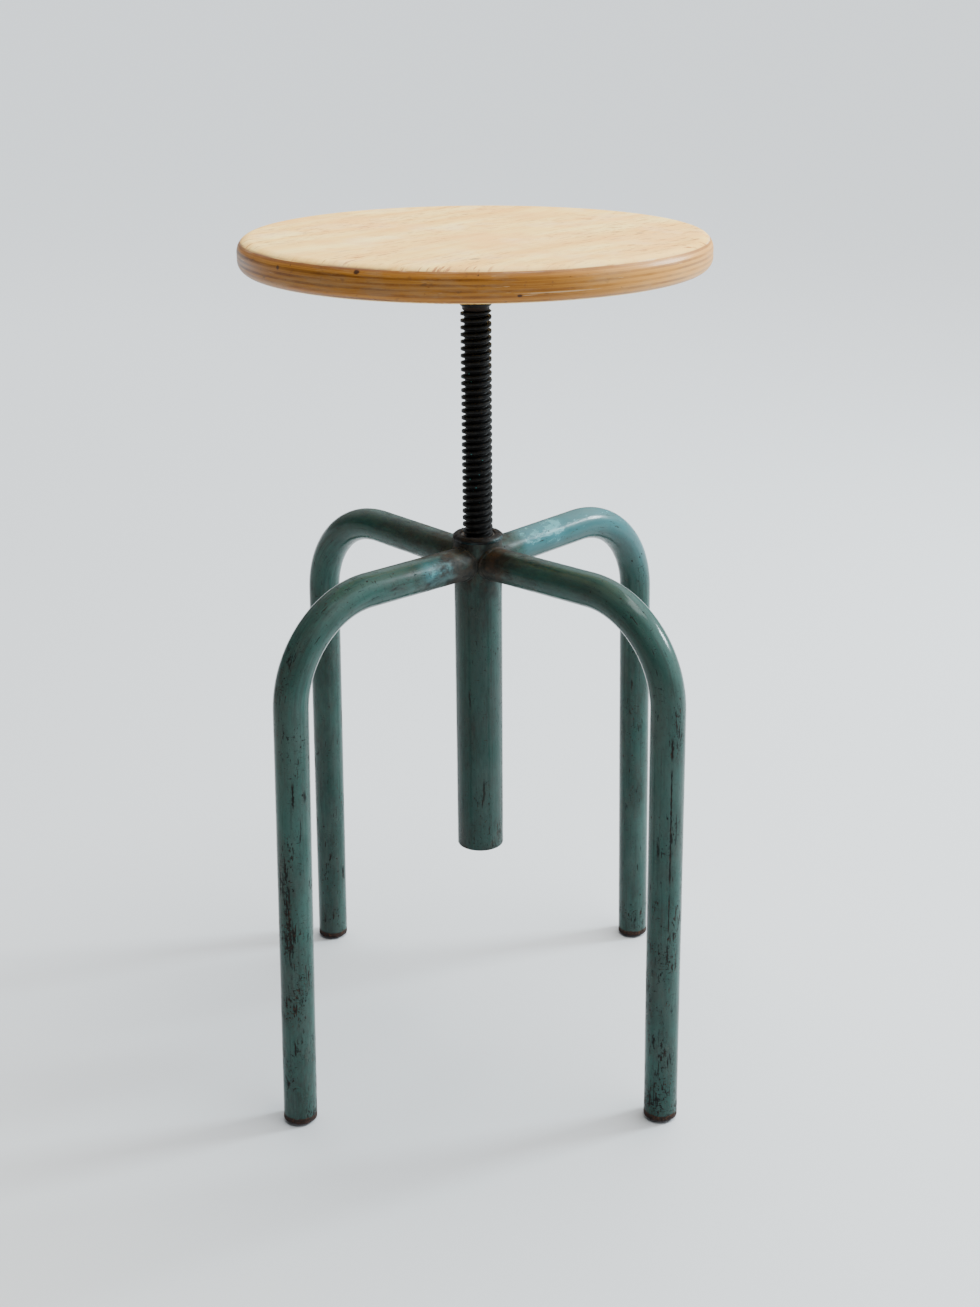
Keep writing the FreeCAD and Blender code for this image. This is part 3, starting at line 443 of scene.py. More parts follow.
def plywood_material(name):
    t = Net(name)
    co = t.coords()
    edge = t.attr("edge").outputs["Fac"]
    xyz = t.split(co)
    z = xyz[2]

    # ---- face veneer
    along = t.vec(co, rot=(0, 0, -GRAIN))
    ga = t.split(along)
    bent = t.m("ADD", ga[1], t.m("MULTIPLY", t.m("SUBTRACT", t.noise(t.vec(along, scale=(2.2, 5.0, 1)), scale=1.0, detail=2.0), 0.5), 0.10))
    fibre = t.noise(t.join(t.m("MULTIPLY", ga[0], 22.0), t.m("MULTIPLY", bent, 620.0), 0.0), scale=1.0, detail=5.0, rough=0.62)
    band = t.noise(t.join(t.m("MULTIPLY", ga[0], 2.0), t.m("MULTIPLY", bent, 46.0), 3.0), scale=1.0, detail=4.0, rough=0.55)
    patch = t.noise(t.vec(co, scale=(1, 1, 0)), scale=11.0, detail=3.0, rough=0.5)
    veneer = t.ramp(band, [(0.34, (0.840, 0.460, 0.095)), (0.50, (0.930, 0.590, 0.150)), (0.66, (0.970, 0.690, 0.220))])
    veneer = t.mix(t.range(patch, 0.48, 0.66, 0.0, 0.60), veneer, (0.880, 0.430, 0.100))
    blotch = t.noise(t.vec(co, scale=(1, 1, 0), loc=(0.7, 2.2, 0)), scale=36.0, detail=5.0, rough=0.62)
    veneer = t.mix(t.range(blotch, 0.50, 0.66, 0.0, 0.45), veneer, (0.780, 0.370, 0.085))
    veneer = t.mix(t.range(fibre, 0.56, 0.80, 0.0, 0.45), veneer, (0.620, 0.310, 0.070))
    # short dark flecks along the grain
    fleck = t.noise(t.join(t.m("MULTIPLY", ga[0], 62.0), t.m("MULTIPLY", bent, 460.0), 7.0), scale=1.0, detail=3.0, rough=0.6)
    fleck_zone = t.noise(t.join(t.m("MULTIPLY", ga[0], 7.0), t.m("MULTIPLY", bent, 16.0), 1.0), scale=1.0, detail=2.0)
    fleck_mask = t.m("MULTIPLY", t.range(fleck, 0.555, 0.620), t.range(fleck_zone, 0.40, 0.56, 0.15, 0.95))
    veneer = t.mix(fleck_mask, veneer, (0.400, 0.150, 0.030))
    # cool worn patches where the lacquer has gone
    dull = t.noise(t.vec(co, scale=(1, 1, 0), loc=(3.1, 1.2, 0)), scale=19.0, detail=4.0, rough=0.6)
    veneer = t.mix(t.range(dull, 0.52, 0.70, 0.0, 0.30), veneer, (0.800, 0.660, 0.420))
    # small stains and marks
    mark = t.voronoi(t.vec(co, scale=(1, 1.0, 0), rot=(0, 0, 0.4)), scale=24.0)
    mark = t.m("MULTIPLY", t.range(t.m("ADD", mark, t.m("MULTIPLY", t.noise(co, scale=420.0, detail=3.0), 0.10)), 0.115, 0.075), t.range(t.noise(t.vec(co, scale=(1, 1, 0)), scale=13.0, detail=0.0), 0.54, 0.58))
    veneer = t.mix(t.m("MULTIPLY", mark, 0.55), veneer, (0.250, 0.190, 0.165))
    # hairline scratches across the seat, two directions
    for k, (rot, keep) in enumerate(((0.55, 0.70), (-0.9, 0.73))):
        sv = t.vec(co, rot=(0, 0, rot), scale=(9.0, 900.0, 0.0), loc=(k * 5.0, k * 2.0, 0))
        line = t.range(t.noise(sv, scale=1.0, detail=1.0), keep, keep + 0.03)
        line = t.m("MULTIPLY", line, t.range(t.noise(t.vec(co, scale=(1, 1, 0), loc=(k, 8, 0)), scale=17.0, detail=1.0), 0.52, 0.60))
        veneer = t.mix(t.m("MULTIPLY", line, 0.55), veneer, (0.56, 0.42, 0.30))

    # ---- plies round the edge: 13 of them, the crossing ones thinner and darker
    level = t.m("MULTIPLY", t.m("SUBTRACT", z, SEAT_LOW * MM), 1.0 / ((SEAT_TOP - SEAT_LOW) * MM))
    angle = t.m("ARCTAN2", xyz[1], xyz[0])
    ring = t.m("MULTIPLY", angle, SEAT_R * MM)
    wave = t.noise(t.join(t.m("MULTIPLY", ring, 7.0), t.m("MULTIPLY", z, 60.0), 0.0), scale=1.0, detail=3.0)
    wavy = t.m("ADD", level, t.m("MULTIPLY", t.m("SUBTRACT", wave, 0.5), 0.045))
    count = t.m("MULTIPLY", wavy, 6.6)
    inside = t.m("FRACT", count)
    index = t.m("FLOOR", count)
    # how far this side looks along the face grain: 1 end grain of the face plies, 0 long grain
    swing = t.m("ABSOLUTE", t.m("COSINE", t.m("SUBTRACT", angle, GRAIN)))
    side_on = t.range(swing, 0.30, 0.90, 0.55, 1.0, smooth=True)
    far = t.m("ABSOLUTE", t.m("SUBTRACT", inside, 0.5))
    dark_ply = t.range(far, 0.275, 0.150, smooth=True)
    breaks = t.noise(t.join(t.m("MULTIPLY", ring, 16.0), t.m("MULTIPLY", index, 5.3), 1.0), scale=1.0, detail=4.0, rough=0.62)
    dark_ply = t.m("MULTIPLY", dark_ply, t.range(breaks, 0.36, 0.62, 0.22, 0.95))
    long_grain = t.noise(t.join(t.m("MULTIPLY", ring, 20.0), t.m("MULTIPLY", z, 1900.0), index), scale=1.0, detail=5.0, rough=0.62)
    pores = t.noise(t.join(t.m("MULTIPLY", ring, 700.0), t.m("MULTIPLY", z, 1300.0), index), scale=1.0, detail=3.0, rough=0.6)
    tone = t.noise(t.join(t.m("MULTIPLY", ring, 6.0), 0.0, t.m("MULTIPLY", index, 3.7)), scale=1.0, detail=3.0)
    plies = t.ramp(long_grain, [(0.30, (0.260, 0.090, 0.012)), (0.50, (0.400, 0.165, 0.026)), (0.72, (0.520, 0.245, 0.052))])
    plies = t.mix(t.range(tone, 0.38, 0.64, 0.0, 0.45), plies, (0.300, 0.112, 0.016))
    plies = t.mix(t.m("MULTIPLY", t.m("MULTIPLY", dark_ply, side_on), t.range(pores, 0.30, 0.65, 0.70, 1.0)), plies, (0.125, 0.038, 0.006))
    glue = t.m("MULTIPLY", t.range(t.m("ABSOLUTE", t.m("SUBTRACT", far, 0.265)), 0.035, 0.005), t.range(breaks, 0.48, 0.62, 0.0, 0.65))
    plies = t.mix(glue, plies, (0.090, 0.026, 0.005))
    end = side_on
    # dirt and rubbed, greyer places
    rub = t.noise(t.join(t.m("MULTIPLY", ring, 13.0), t.m("MULTIPLY", z, 75.0), 4.0), scale=1.0, detail=6.0, rough=0.68)
    plies = t.mix(t.range(rub, 0.50, 0.66, 0.0, 0.60), plies, (0.330, 0.215, 0.115))
    smudge = t.noise(t.join(t.m("MULTIPLY", ring, 120.0), t.m("MULTIPLY", z, 210.0), 5.0), scale=1.0, detail=4.0, rough=0.65)
    plies = t.mix(t.range(smudge, 0.60, 0.70, 0.0, 0.55), plies, (0.105, 0.060, 0.030))
    nick = t.noise(t.join(t.m("MULTIPLY", ring, 240.0), t.m("MULTIPLY", z, 420.0), 9.0), scale=1.0, detail=3.0, rough=0.6)
    nick_mask = t.range(nick, 0.700, 0.730)
    plies = t.mix(t.m("MULTIPLY", nick_mask, 0.85), plies, (0.030, 0.014, 0.008))
    pale_scratch = t.range(t.noise(t.join(t.m("MULTIPLY", ring, 60.0), t.m("MULTIPLY", z, 1100.0), 2.0), scale=1.0, detail=2.0), 0.715, 0.745)
    plies = t.mix(t.m("MULTIPLY", pale_scratch, 0.65), plies, (0.640, 0.440, 0.240))
    # painted light: the plies are made paler and more orange towards the right, the side the right window lights
    painted_light_right = t.m("COSINE", t.m("SUBTRACT", angle, math.radians(-22.0)))
    plies = t.mix(t.m("MULTIPLY", t.range(painted_light_right, 0.62, 0.98, 0.0, 0.55), t.m("SUBTRACT", 1.0, t.m("MULTIPLY", dark_ply, 0.75))), plies, (0.860, 0.420, 0.095))
    # dings and pale scratches on the front
    for deg, height, half_ring, half_z, tint, power in SEAT_MARKS:
        u = t.m("MULTIPLY", t.m("SUBTRACT", angle, math.radians(deg)), SEAT_R * MM / half_ring)
        v = t.m("MULTIPLY", t.m("SUBTRACT", z, height), 1.0 / half_z)
        dist = t.m("SQRT", t.m("ADD", t.m("MULTIPLY", u, u), t.m("MULTIPLY", v, v)))
        dist = t.m("ADD", dist, t.m("MULTIPLY", t.m("SUBTRACT", smudge, 0.5), 1.2))
        plies = t.mix(t.range(dist, 1.15, 0.65, 0.0, power), plies, tint)

    colour = t.mix(edge, veneer, plies)
    for mx, my, ma, mb, turn, power in TOP_MARKS:
        c0, s0 = math.cos(turn), math.sin(turn)
        du, dv = t.m("SUBTRACT", xyz[0], mx), t.m("SUBTRACT", xyz[1], my)
        u = t.m("MULTIPLY", t.m("ADD", t.m("MULTIPLY", du, c0), t.m("MULTIPLY", dv, s0)), 1.0 / ma)
        v = t.m("MULTIPLY", t.m("SUBTRACT", t.m("MULTIPLY", dv, c0), t.m("MULTIPLY", du, s0)), 1.0 / mb)
        dist = t.m("SQRT", t.m("ADD", t.m("MULTIPLY", u, u), t.m("MULTIPLY", v, v)))
        dist = t.m("ADD", dist, t.m("MULTIPLY", t.m("SUBTRACT", t.noise(co, scale=300.0, detail=4.0), 0.5), 1.3))
        colour = t.mix(t.m("MULTIPLY", t.range(dist, 1.15, 0.60, 0.0, power), t.m("SUBTRACT", 1.0, edge)), colour, (0.120, 0.075, 0.060))

    # worn, slightly purple line along the upper arris
    arris = t.attr("arris").outputs["Fac"]
    worn = t.noise(t.join(t.m("MULTIPLY", ring, 16.0), t.m("MULTIPLY", z, 300.0), 0.0), scale=1.0, detail=5.0, rough=0.7)
    leftish = t.range(xyz[0], 0.02, -0.06, 0.25, 1.0)
    arris_mask = t.m("MULTIPLY", t.m("MULTIPLY", arris, leftish), t.range(worn, 0.42, 0.56))
    colour = t.mix(t.m("MULTIPLY", arris_mask, 0.80), colour, (0.150, 0.070, 0.055))
    # painted sheen: a pale line along the upper arris where the noise is low
    painted_sheen_mask = t.m("MULTIPLY", arris, t.range(worn, 0.46, 0.36, 0.0, 0.55))
    colour = t.mix(painted_sheen_mask, colour, (0.720, 0.600, 0.480))

    t.set("Base Color", colour)
    rough_top = t.range(dull, 0.35, 0.70, 0.40, 0.60)
    rough_edge = t.range(rub, 0.35, 0.75, 0.30, 0.52)
    t.set("Roughness", t.mixf(edge, rough_top, rough_edge))
    t.bsdf.inputs["Specular IOR Level"].default_value = 0.17
    t.bsdf.inputs["Coat Weight"].default_value = 0.05
    t.bsdf.inputs["Coat Roughness"].default_value = 0.28
    h_top = t.m("ADD", t.m("MULTIPLY", fibre, 0.5), t.m("MULTIPLY", fleck_mask, -0.6))
    h_edge = t.m("SUBTRACT", t.m("MULTIPLY", long_grain, 0.55), t.m("ADD", t.m("MULTIPLY", dark_ply, 0.25), nick_mask))
    t.set("Normal", t.bump(t.mixf(edge, h_top, h_edge), strength=0.30, distance=0.0004))
    return t.mat


# --------------------------------------------------------------------------------------
# seat board
# --------------------------------------------------------------------------------------
def build_seat():
    top_r, low_r, veneer_z = 9.5, 8.0, 633.7
    prof = []                       # (r, z, edge, arris)
    for r in (0, 30, 60, 90, 115, 135, 148, 154, 156.4):
        prof.append((float(r), SEAT_LOW, 0.0, 0.0))
    for k in range(0, 15):
        a = math.radians(90.0 * k / 14)
        z = SEAT_LOW + low_r * (1.0 - math.cos(a))
        prof.append((SEAT_R - low_r + low_r * math.sin(a), z, float(smoothstep(614.2, 614.7, z)), 0.0))
    for z in (622.8, 624.2, 625.6):
        prof.append((SEAT_R, z, 1.0, 0.0))
    mid = SEAT_TOP - top_r
    cut = math.degrees(math.asin((veneer_z - mid) / top_r))
    angles = list(np.linspace(0.0, cut - 2.4, 14)) + [cut - 1.3, cut - 0.6, cut - 0.25, cut, cut + 0.4, cut + 1.3, cut + 3.0] + list(np.linspace(cut + 6.0, 90.0, 9))
    for deg in angles:
        a = math.radians(deg)
        z = mid + top_r * math.sin(a)
        e = float(smoothstep(cut + 0.35, cut - 0.55, deg)) if abs(deg - cut) < 3 else float(deg < cut)
        prof.append((SEAT_R - top_r + top_r * math.cos(a), z, e, math.exp(-((deg - cut - 1.0) / 6.5) ** 2)))
    for r in (154, 148, 135, 115, 90, 60, 30, 0):
        prof.append((float(r), SEAT_TOP, 0.0, 0.0))

    seg = 360
    verts, rows, edge, arris = [], [], [], []
    for r, z, e, ar in prof:
        if r == 0.0:
            rows.append([len(verts)])
            verts.append((0, 0, z * MM)), edge.append(e), arris.append(ar)
            continue
        row = []
        for j in range(seg):
            a = 2 * math.pi * j / seg
            dr = 0.0
            if r > 156.0:           # the hand-sanded edge isn't perfectly even
                dr = 0.16 * n3(math.cos(a) * 2.3, math.sin(a) * 2.3, z * 0.05) + 0.07 * n3(math.cos(a) * 14, math.sin(a) * 14, z * 0.3)
                dr = min(dr, SEAT_R + 0.2 - r)
            row.append(len(verts))
            verts.append(((r + dr) * math.cos(a) * MM, (r + dr) * math.sin(a) * MM, z * MM))
            edge.append(e)
            arris.append(ar)
        rows.append(row)
    faces = []
    for lo, hi in zip(rows[:-1], rows[1:]):
        for j in range(seg):
            k = (j + 1) % seg
            if len(lo) == 1:
                faces.append((lo[0], hi[k], hi[j]))
            elif len(hi) == 1:
                faces.append((lo[j], lo[k], hi[0]))
            else:
                faces.append((lo[j], lo[k], hi[k], hi[j]))
    return new_object("seat_board_turned", verts, faces, angle=30,
                      attrs={"edge": ("FLOAT", edge), "arris": ("FLOAT", arris)})


# --------------------------------------------------------------------------------------
# spindle: single-start square thread with worn crests, right-handed
# --------------------------------------------------------------------------------------
def build_spindle():
    n = 72
    half = [0.0, 0.42, 0.74, 0.94, 1.10, 1.26, 1.42, 1.58, 1.76, 2.0]
    phases = [-p for p in half[:0:-1]] + half + [2.28]     # offsets from the crest's middle, mm
    phases = sorted(phases)
    m = len(phases)
    low, high = 352.0, 583.4
    first = 347.75
    turns = int((high - first) / PITCH) + 3
    cos = np.cos(2 * math.pi * np.arange(n) / n)
    sin = np.sin(2 * math.pi * np.arange(n) / n)
    verts = []
    index = {}

    def radius(off, z):
        a = abs(off)
        t = min(max((a - 0.86) / (1.92 - 0.86), 0.0), 1.0)
        lift = 1.0 - t * t * (3 - 2 * t)
        lift *= 1.0 - 0.05 * (a / 1.0) ** 2 if a < 1.0 else 1.0 - 0.05
        fade = float(smoothstep(583.4, 582.2, z))
        base = ROOT_R + (9.8 - ROOT_R) * float(smoothstep(582.2, 583.3, z))
        return base + (THREAD_R - base) * lift * fade

    for t in range(-1, turns):
        for j in range(n):
            for i, off in enumerate(phases):
                z = first + PITCH * (t + j / n) + off
                zc = min(max(z, low), high)
                r = radius(off, zc)
                if zc <= low + 0.6:
                    r = min(r, 9.8 + (zc - low) * 2.0)
                r += 0.035 * n3(cos[j] * 3.0, sin[j] * 3.0, zc * 0.9)
                if z != zc:
                    r = ROOT_R if z < low else 9.8
                index[(t, j, i)] = len(verts)
                verts.append((r * cos[j] * MM, r * sin[j] * MM, zc * MM))

    def vid(t, j, i):
        if i == m:
            t, i = t + 1, 0
        if j == n:
            t, j = t + 1, 0
        return index.get((t, j, i))

    faces = []
    for t in range(-1, turns):
        for j in range(n):
            for i in range(m):
                q = [vid(t, j, i), vid(t, j + 1, i), vid(t, j + 1, i + 1), vid(t, j, i + 1)]
                if None in q:
                    continue
                zs = [verts[k][2] for k in q]
                if max(zs) - min(zs) < 1e-9:
                    continue
                faces.append(q)
    ob = new_object("spindle_thread", verts, faces, smooth=True)
    import bmesh
    bm = bmesh.new()
    bm.from_mesh(ob.data)
    bmesh.ops.remove_doubles(bm, verts=bm.verts[:], dist=2e-7)
    bmesh.ops.delete(bm, geom=[f for f in bm.faces if f.calc_area() < 1e-13], context="FACES")
    bmesh.ops.delete(bm, geom=[v for v in bm.verts if not v.link_faces], context="VERTS")
    bm.verts.ensure_lookup_table()
    # plain neck and shank above, journal below, both welded onto the same ring of vertices
    def ring_at(z):
        ring = [v for v in bm.verts if abs(v.co.z - z * MM) < 5e-7 and any(e.is_boundary for e in v.link_edges)]
        return sorted(ring, key=lambda v: math.atan2(v.co.y, v.co.x) % (2 * math.pi))
    top, bottom = ring_at(high), ring_at(low)
    def grow(ring, profile, up):
        for r, z in profile:
            nxt = []
            for v in ring:
                a = math.atan2(v.co.y, v.co.x)
                nxt.append(bm.verts.new((r * math.cos(a) * MM, r * math.sin(a) * MM, z * MM)))
            k = len(ring)
            for j in range(k):
                q = (ring[j], ring[(j + 1) % k], nxt[(j + 1) % k], nxt[j])
                f = bm.faces.new(q if up else q[::-1])
                f.smooth = True
            ring = nxt
        f = bm.faces.new(ring if up else ring[::-1])
        f.smooth = False
    grow(top, [(9.8, 583.9), (9.8, 584.5), (9.85, 585.1), (10.3, 585.6), (10.9, 586.0), (11.2, 586.5), (11.2, 592.0), (11.2, 600.0), (11.0, 613.3)], True)
    grow(bottom, [(9.0, 351.9), (6.4, 351.8), (6.0, 351.4), (6.0, 347.0), (5.7, 345.2)], False)
    bmesh.ops.recalc_face_normals(bm, faces=bm.faces[:])
    bm.to_mesh(ob.data)
    bm.free()
    ob.data.update()
    ob.data.set_sharp_from_angle(angle=math.radians(50))
    return ob


# --------------------------------------------------------------------------------------
# column and legs
# --------------------------------------------------------------------------------------
def build_column():
    seg = 96
    rows, wear, grime_and_shade, fade, rust, tube = [], [], [], [], [], []
    outer = [163.0, 163.6, 164.6] + list(np.linspace(168.0, 372.0, 52)) + list(np.linspace(375.0, COL_HIGH, 16))
    ring = [(COL_R - COL_WALL + 0.35, COL_LOW), (COL_R - 0.5, COL_LOW), (COL_R - 0.12, COL_LOW + 0.2)]
    ring += [(COL_R, z) for z in outer]
    ring += [(COL_R - COL_WALL, COL_HIGH)] + [(COL_R - COL_WALL, z) for z in np.linspace(COL_HIGH - 4.0, 166.0, 30)] + [(COL_R - COL_WALL, COL_LOW + 0.4)]
    verts = []
    for r, z in ring:
        for j in range(seg):
            a = 2 * math.pi * j / seg
            rr = r
            if r > COL_R - 1.0 and z > COL_LOW:
                rr = r + 0.05 * n3(math.cos(a) * 1.2, math.sin(a) * 1.2, z * 0.02)
            verts.append((rr * math.cos(a) * MM, rr * math.sin(a) * MM, z * MM))
            tube.append((rr * math.cos(a) * MM, rr * math.sin(a) * MM, z * MM))
            inner = r < COL_R - 1.0
            wear.append(0.40 + 0.22 * float(smoothstep(230, 165, z)))
            # painted shade: the column darkens towards its top under the hub, z 345 to 402; the band at the bottom end
            # is dirt
            grime_and_shade.append(0.75 if inner else 0.80 * float(smoothstep(345, 402, z)) + 0.30 * float(smoothstep(182, 164, z)))
            fade.append(0.0)
            rust.append(0.55 if inner else 0.42 * float(smoothstep(172, 163, z)))
    faces = grid_faces(len(ring), seg)
    last = (len(ring) - 1) * seg
    for j in range(seg):
        k = (j + 1) % seg
        faces.append((last + j, last + k, k, j))
    return new_object("column_tube_painted", verts, faces, angle=35,
                      attrs={"tube": ("FLOAT_VECTOR", tube), "wear": ("FLOAT", wear), "grime_and_shade": ("FLOAT", grime_and_shade),
                             "fade": ("FLOAT", fade), "rust": ("FLOAT", rust)})


class LegPath:
    """Centre line of a leg in its own upright plane: x outward, z up.
    The run rises by tr as it goes out; the upright leans out by tl as it rises."""

    def __init__(self, tr=1.5, tl=1.5, out=190.916):
        tr, tl = math.radians(tr), math.radians(tl)
        self.rise = tr
        self.T0, self.N0 = np.array([math.cos(tr), math.sin(tr)]), np.array([-math.sin(tr), math.cos(tr)])
        self.T1, self.N1 = np.array([math.sin(tl), -math.cos(tl)]), np.array([math.cos(tl), math.sin(tl)])
        dx, dz = out, FOOT_GAP
        a = BEND_R * (math.sin(tr) + math.cos(tl))
        b = RUN_Z + BEND_R * (math.sin(tl) - math.cos(tr))
        self.run = (dx - a - (b - dz) * math.tan(tl)) / (math.cos(tr) + math.sin(tr) * math.tan(tl))
        self.arc = BEND_R * (math.pi / 2 + tr - tl)
        self.start = np.array([0.0, RUN_Z])
        self.centre = self.start + self.T0 * self.run - self.N0 * BEND_R
        self.c = self.centre + self.N1 * BEND_R
        self.drop = (self.c[1] - dz) / math.cos(tl)
        self.total = self.run + self.arc + self.drop

    def at(self, s):
        if s <= self.run:
            return self.start + self.T0 * s, self.T0, self.N0, 0.0
        if s <= self.run + self.arc:
            beta = (s - self.run) / BEND_R
            n = math.cos(beta) * self.N0 + math.sin(beta) * self.T0
            tan = math.cos(beta) * self.T0 - math.sin(beta) * self.N0
            return self.centre + n * BEND_R, tan, n, max(0.0, math.sin(2 * beta))
        d = s - self.run - self.arc
        return self.c + self.T1 * d, self.T1, self.N1, 0.0


PATHS = {leg: LegPath() for leg in LEGS}
PATHS["front_right"] = LegPath(1.5, 0.95)          # set a little steeper than the others
PATHS["front_left"] = LegPath(1.5, 1.87, 193.0)    # and this one a little wider


def near(value, middle, spread):
    return math.exp(-((value - middle) / spread) ** 2)


def round_tube(phi, middle, spread):
    gap = (phi - middle + 180.0) % 360.0 - 180.0
    return math.exp(-(gap / spread) ** 2)


def leg_attrs(name, s, phi):
    """(wear, grime, fade, rust) on a leg at s mm from the column's axis and phi degrees round."""
    front = name.startswith("front")
    total = PATHS[name].total
    low = float(smoothstep(260, 340, s))
    wear = 0.34 + 0.10 * float(smoothstep(100, 170, s)) + (0.26 if front else 0.10) * low
    if name == "front_right":
        wear += 0.42 * near(s, 232, 16) * round_tube(phi, 10, 22)
        wear += 0.20 * near(s, 355, 70) * round_tube(phi, 20, 40)
    if name == "front_left":
        wear += 0.22 * near(s, 385, 45) * round_tube(phi, -31, 26)
        wear += 0.26 * near(s, 495, 22) * round_tube(phi, -50, 34)
        wear += 0.25 * near(s, 180, 50) * round_tube(phi, -10, 40)
    wear += 0.10 * float(smoothstep(total - 50, total - 8, s))
    grime_and_shade = 0.62 * float(smoothstep(104, 30, s)) + 0.28 * float(smoothstep(44, 24, s))
    if name == "front_left":
        grime_and_shade = 0.58 * float(smoothstep(112, 40, s)) + 0.30 * float(smoothstep(56, 28, s))
    if name == "back_right":
        grime_and_shade = 0.60 * float(smoothstep(52, 26, s))
    if name == "back_left":
        grime_and_shade = 0.50 * float(smoothstep(165, 40, s))
    fade = 0.0
    if name == "back_right":
        fade = 0.78 * float(smoothstep(32, 44, s)) * float(smoothstep(90, 72, s)) * round_tube(phi, 42, 62)
        # painted sheen: broad fade along the back right leg's run and bend, the side the right window lights
        fade += 0.52 * float(smoothstep(60, 95, s)) * float(smoothstep(225, 175, s)) * round_tube(phi, 45, 75)
    if name == "front_left":
        fade = 0.72 * float(smoothstep(31, 40, s)) * float(smoothstep(72, 58, s)) * round_tube(phi, -66, 40)
    rust = 0.92 * float(smoothstep(total - 4.6, total - 1.6, s)) + 0.27 * float(smoothstep(total - 48, total - 4, s))
    rust += (0.20 if front else 0.14) * near(s, 30, 16) * round_tube(phi, 38, 30)
    return wear, grime_and_shade, fade, rust


def build_leg(name, azimuth):
    seg = 64
    az = math.radians(azimuth)
    radial = np.array([math.cos(az), math.sin(az), 0.0])
    up = np.array([0.0, 0.0, 1.0])
    side = np.cross(radial, up)
    path = PATHS[name]
    stations = [None]               # first row follows the column's round wall
    stations += list(np.linspace(24.0, path.run, 26)) + list(np.linspace(path.run, path.run + path.arc, 44))[1:]
    stations += list(np.linspace(path.run + path.arc, path.total - 7.0, 66))[1:]
    stations += [path.total - d for d in (6.0, 5.0, 4.2, 3.4, 2.6, 1.8, 1.0, 0.25, 0.0)]
    seed = azimuth * 0.37
    verts, tube, wear, grime_and_shade, fade, rust = [], [], [], [], [], []

    def push(s, phi, r, oval, inner):
        centre, tan, nor, bend = path.at(s)
        rn = r * (1.0 - 0.022 * bend)
        rb = r * (1.0 + 0.016 * bend)
        if not inner:
            rn *= 1.0 + 0.004 * bend * max(0.0, -math.cos(phi)) * math.sin(s * 0.42)
            w = 0.045 * n3(math.cos(phi) * 1.1 + seed, math.sin(phi) * 1.1, s * 0.018)
            rn, rb = rn + w, rb + w
        off_n, off_b = rn * math.cos(phi), rb * math.sin(phi)
        p2 = centre + nor * off_n
        p = radial * p2[0] + up * p2[1] + side * off_b
        verts.append(tuple(p * MM))
        tube.append((r * math.cos(phi) * MM, r * math.sin(phi) * MM, s * MM))
        w, g, f, ru = leg_attrs(name, s, math.degrees(phi))
        wear.append(w), grime_and_shade.append(0.8 if inner else g), fade.append(f), rust.append(ru)

    order = [(s, LEG_R, False) for s in stations]
    order[-1] = (path.total, LEG_R - 0.25, False)
    order += [(s, LEG_R - LEG_WALL, True) for s in reversed(stations)]
    for s, r, inner in order:
        for j in range(seg):
            phi = 2 * math.pi * j / seg
            if s is None:
                y = r * math.sin(phi)
                cope = math.sqrt(max((COL_R - 0.6) ** 2 - y * y, 1.0))
                s_here = cope / math.cos(path.rise)
            else:
                s_here = s
            push(s_here, phi, r, 0.0, inner)
    faces = grid_faces(len(order), seg)
    last = (len(order) - 1) * seg
    for j in range(seg):
        k = (j + 1) % seg
        faces.append((last + j, last + k, k, j))
    ob = new_object("leg_%s_tube" % name, verts, faces, angle=38,
                    attrs={"tube": ("FLOAT_VECTOR", tube), "wear": ("FLOAT", wear), "grime_and_shade": ("FLOAT", grime_and_shade),
                           "fade": ("FLOAT", fade), "rust": ("FLOAT", rust)})
    fix_normals(ob)
    return ob


def fix_normals(ob):
    import bmesh
    bm = bmesh.new()
    bm.from_mesh(ob.data)
    bmesh.ops.recalc_face_normals(bm, faces=bm.faces[:])
    bm.to_mesh(ob.data)
    bm.free()
    ob.data.update()


def build_leg_weld(name, azimuth):
    """Saddle-shaped bead where the leg meets the column, with the ripples of a hand weld."""
    az = math.radians(azimuth)
    radial = np.array([math.cos(az), math.sin(az), 0.0])
    up = np.array([0.0, 0.0, 1.0])
    side = np.cross(radial, up)
    nu, nv = 168, 18
    path = PATHS[name]
    verts, tube, wear, grime_and_shade, fade, rust = [], [], [], [], [], []
    seed = azimuth * 0.11
    for i in range(nu):
        u = 2 * math.pi * i / nu
        y = LEG_R * math.sin(u)
        reach = math.sqrt(COL_R ** 2 - y * y)
        lump = n3(math.cos(u) * 2.4 + seed, math.sin(u) * 2.4, 0.0)
        fine = n3(math.cos(u) * 7.0 + seed, math.sin(u) * 7.0, 3.0)
        beat = math.sin(30 * u + 4.0 * lump)
        rho = 1.45 + 0.40 * lump + 0.20 * fine + 0.05 * beat
        for j in range(nv):
            v = 2 * math.pi * j / nv
            out = rho * math.cos(v) * 0.85 - 0.30
            ahead = rho * math.sin(v) * 1.35 + 0.50 + 0.30 * lump
            rr = LEG_R + out
            s = (reach + ahead) / math.cos(path.rise)
            p2 = path.start + path.T0 * s + path.N0 * (rr * math.cos(u))
            p = radial * p2[0] + up * p2[1] + side * (rr * math.sin(u))
            verts.append(tuple(p * MM))
            tube.append((LEG_R * math.cos(u) * MM, LEG_R * math.sin(u) * MM, s * MM))
            w, g, f, ru = leg_attrs(name, s, math.degrees(u))
            wear.append(0.35), grime_and_shade.append(min(1.0, g + 0.05)), fade.append(0.4 * f), rust.append(ru)
    faces = []
    for i in range(nu):
        for j in range(nv):
            k, l = (i + 1) % nu, (j + 1) % nv
            faces.append((i * nv + j, k * nv + j, k * nv + l, i * nv + l))
    ob = new_object("leg_weld_%s_bead" % name, verts, faces,
                    attrs={"tube": ("FLOAT_VECTOR", tube), "wear": ("FLOAT", wear), "grime_and_shade": ("FLOAT", grime_and_shade),
                           "fade": ("FLOAT", fade), "rust": ("FLOAT", rust)})
    fix_normals(ob)
    return ob


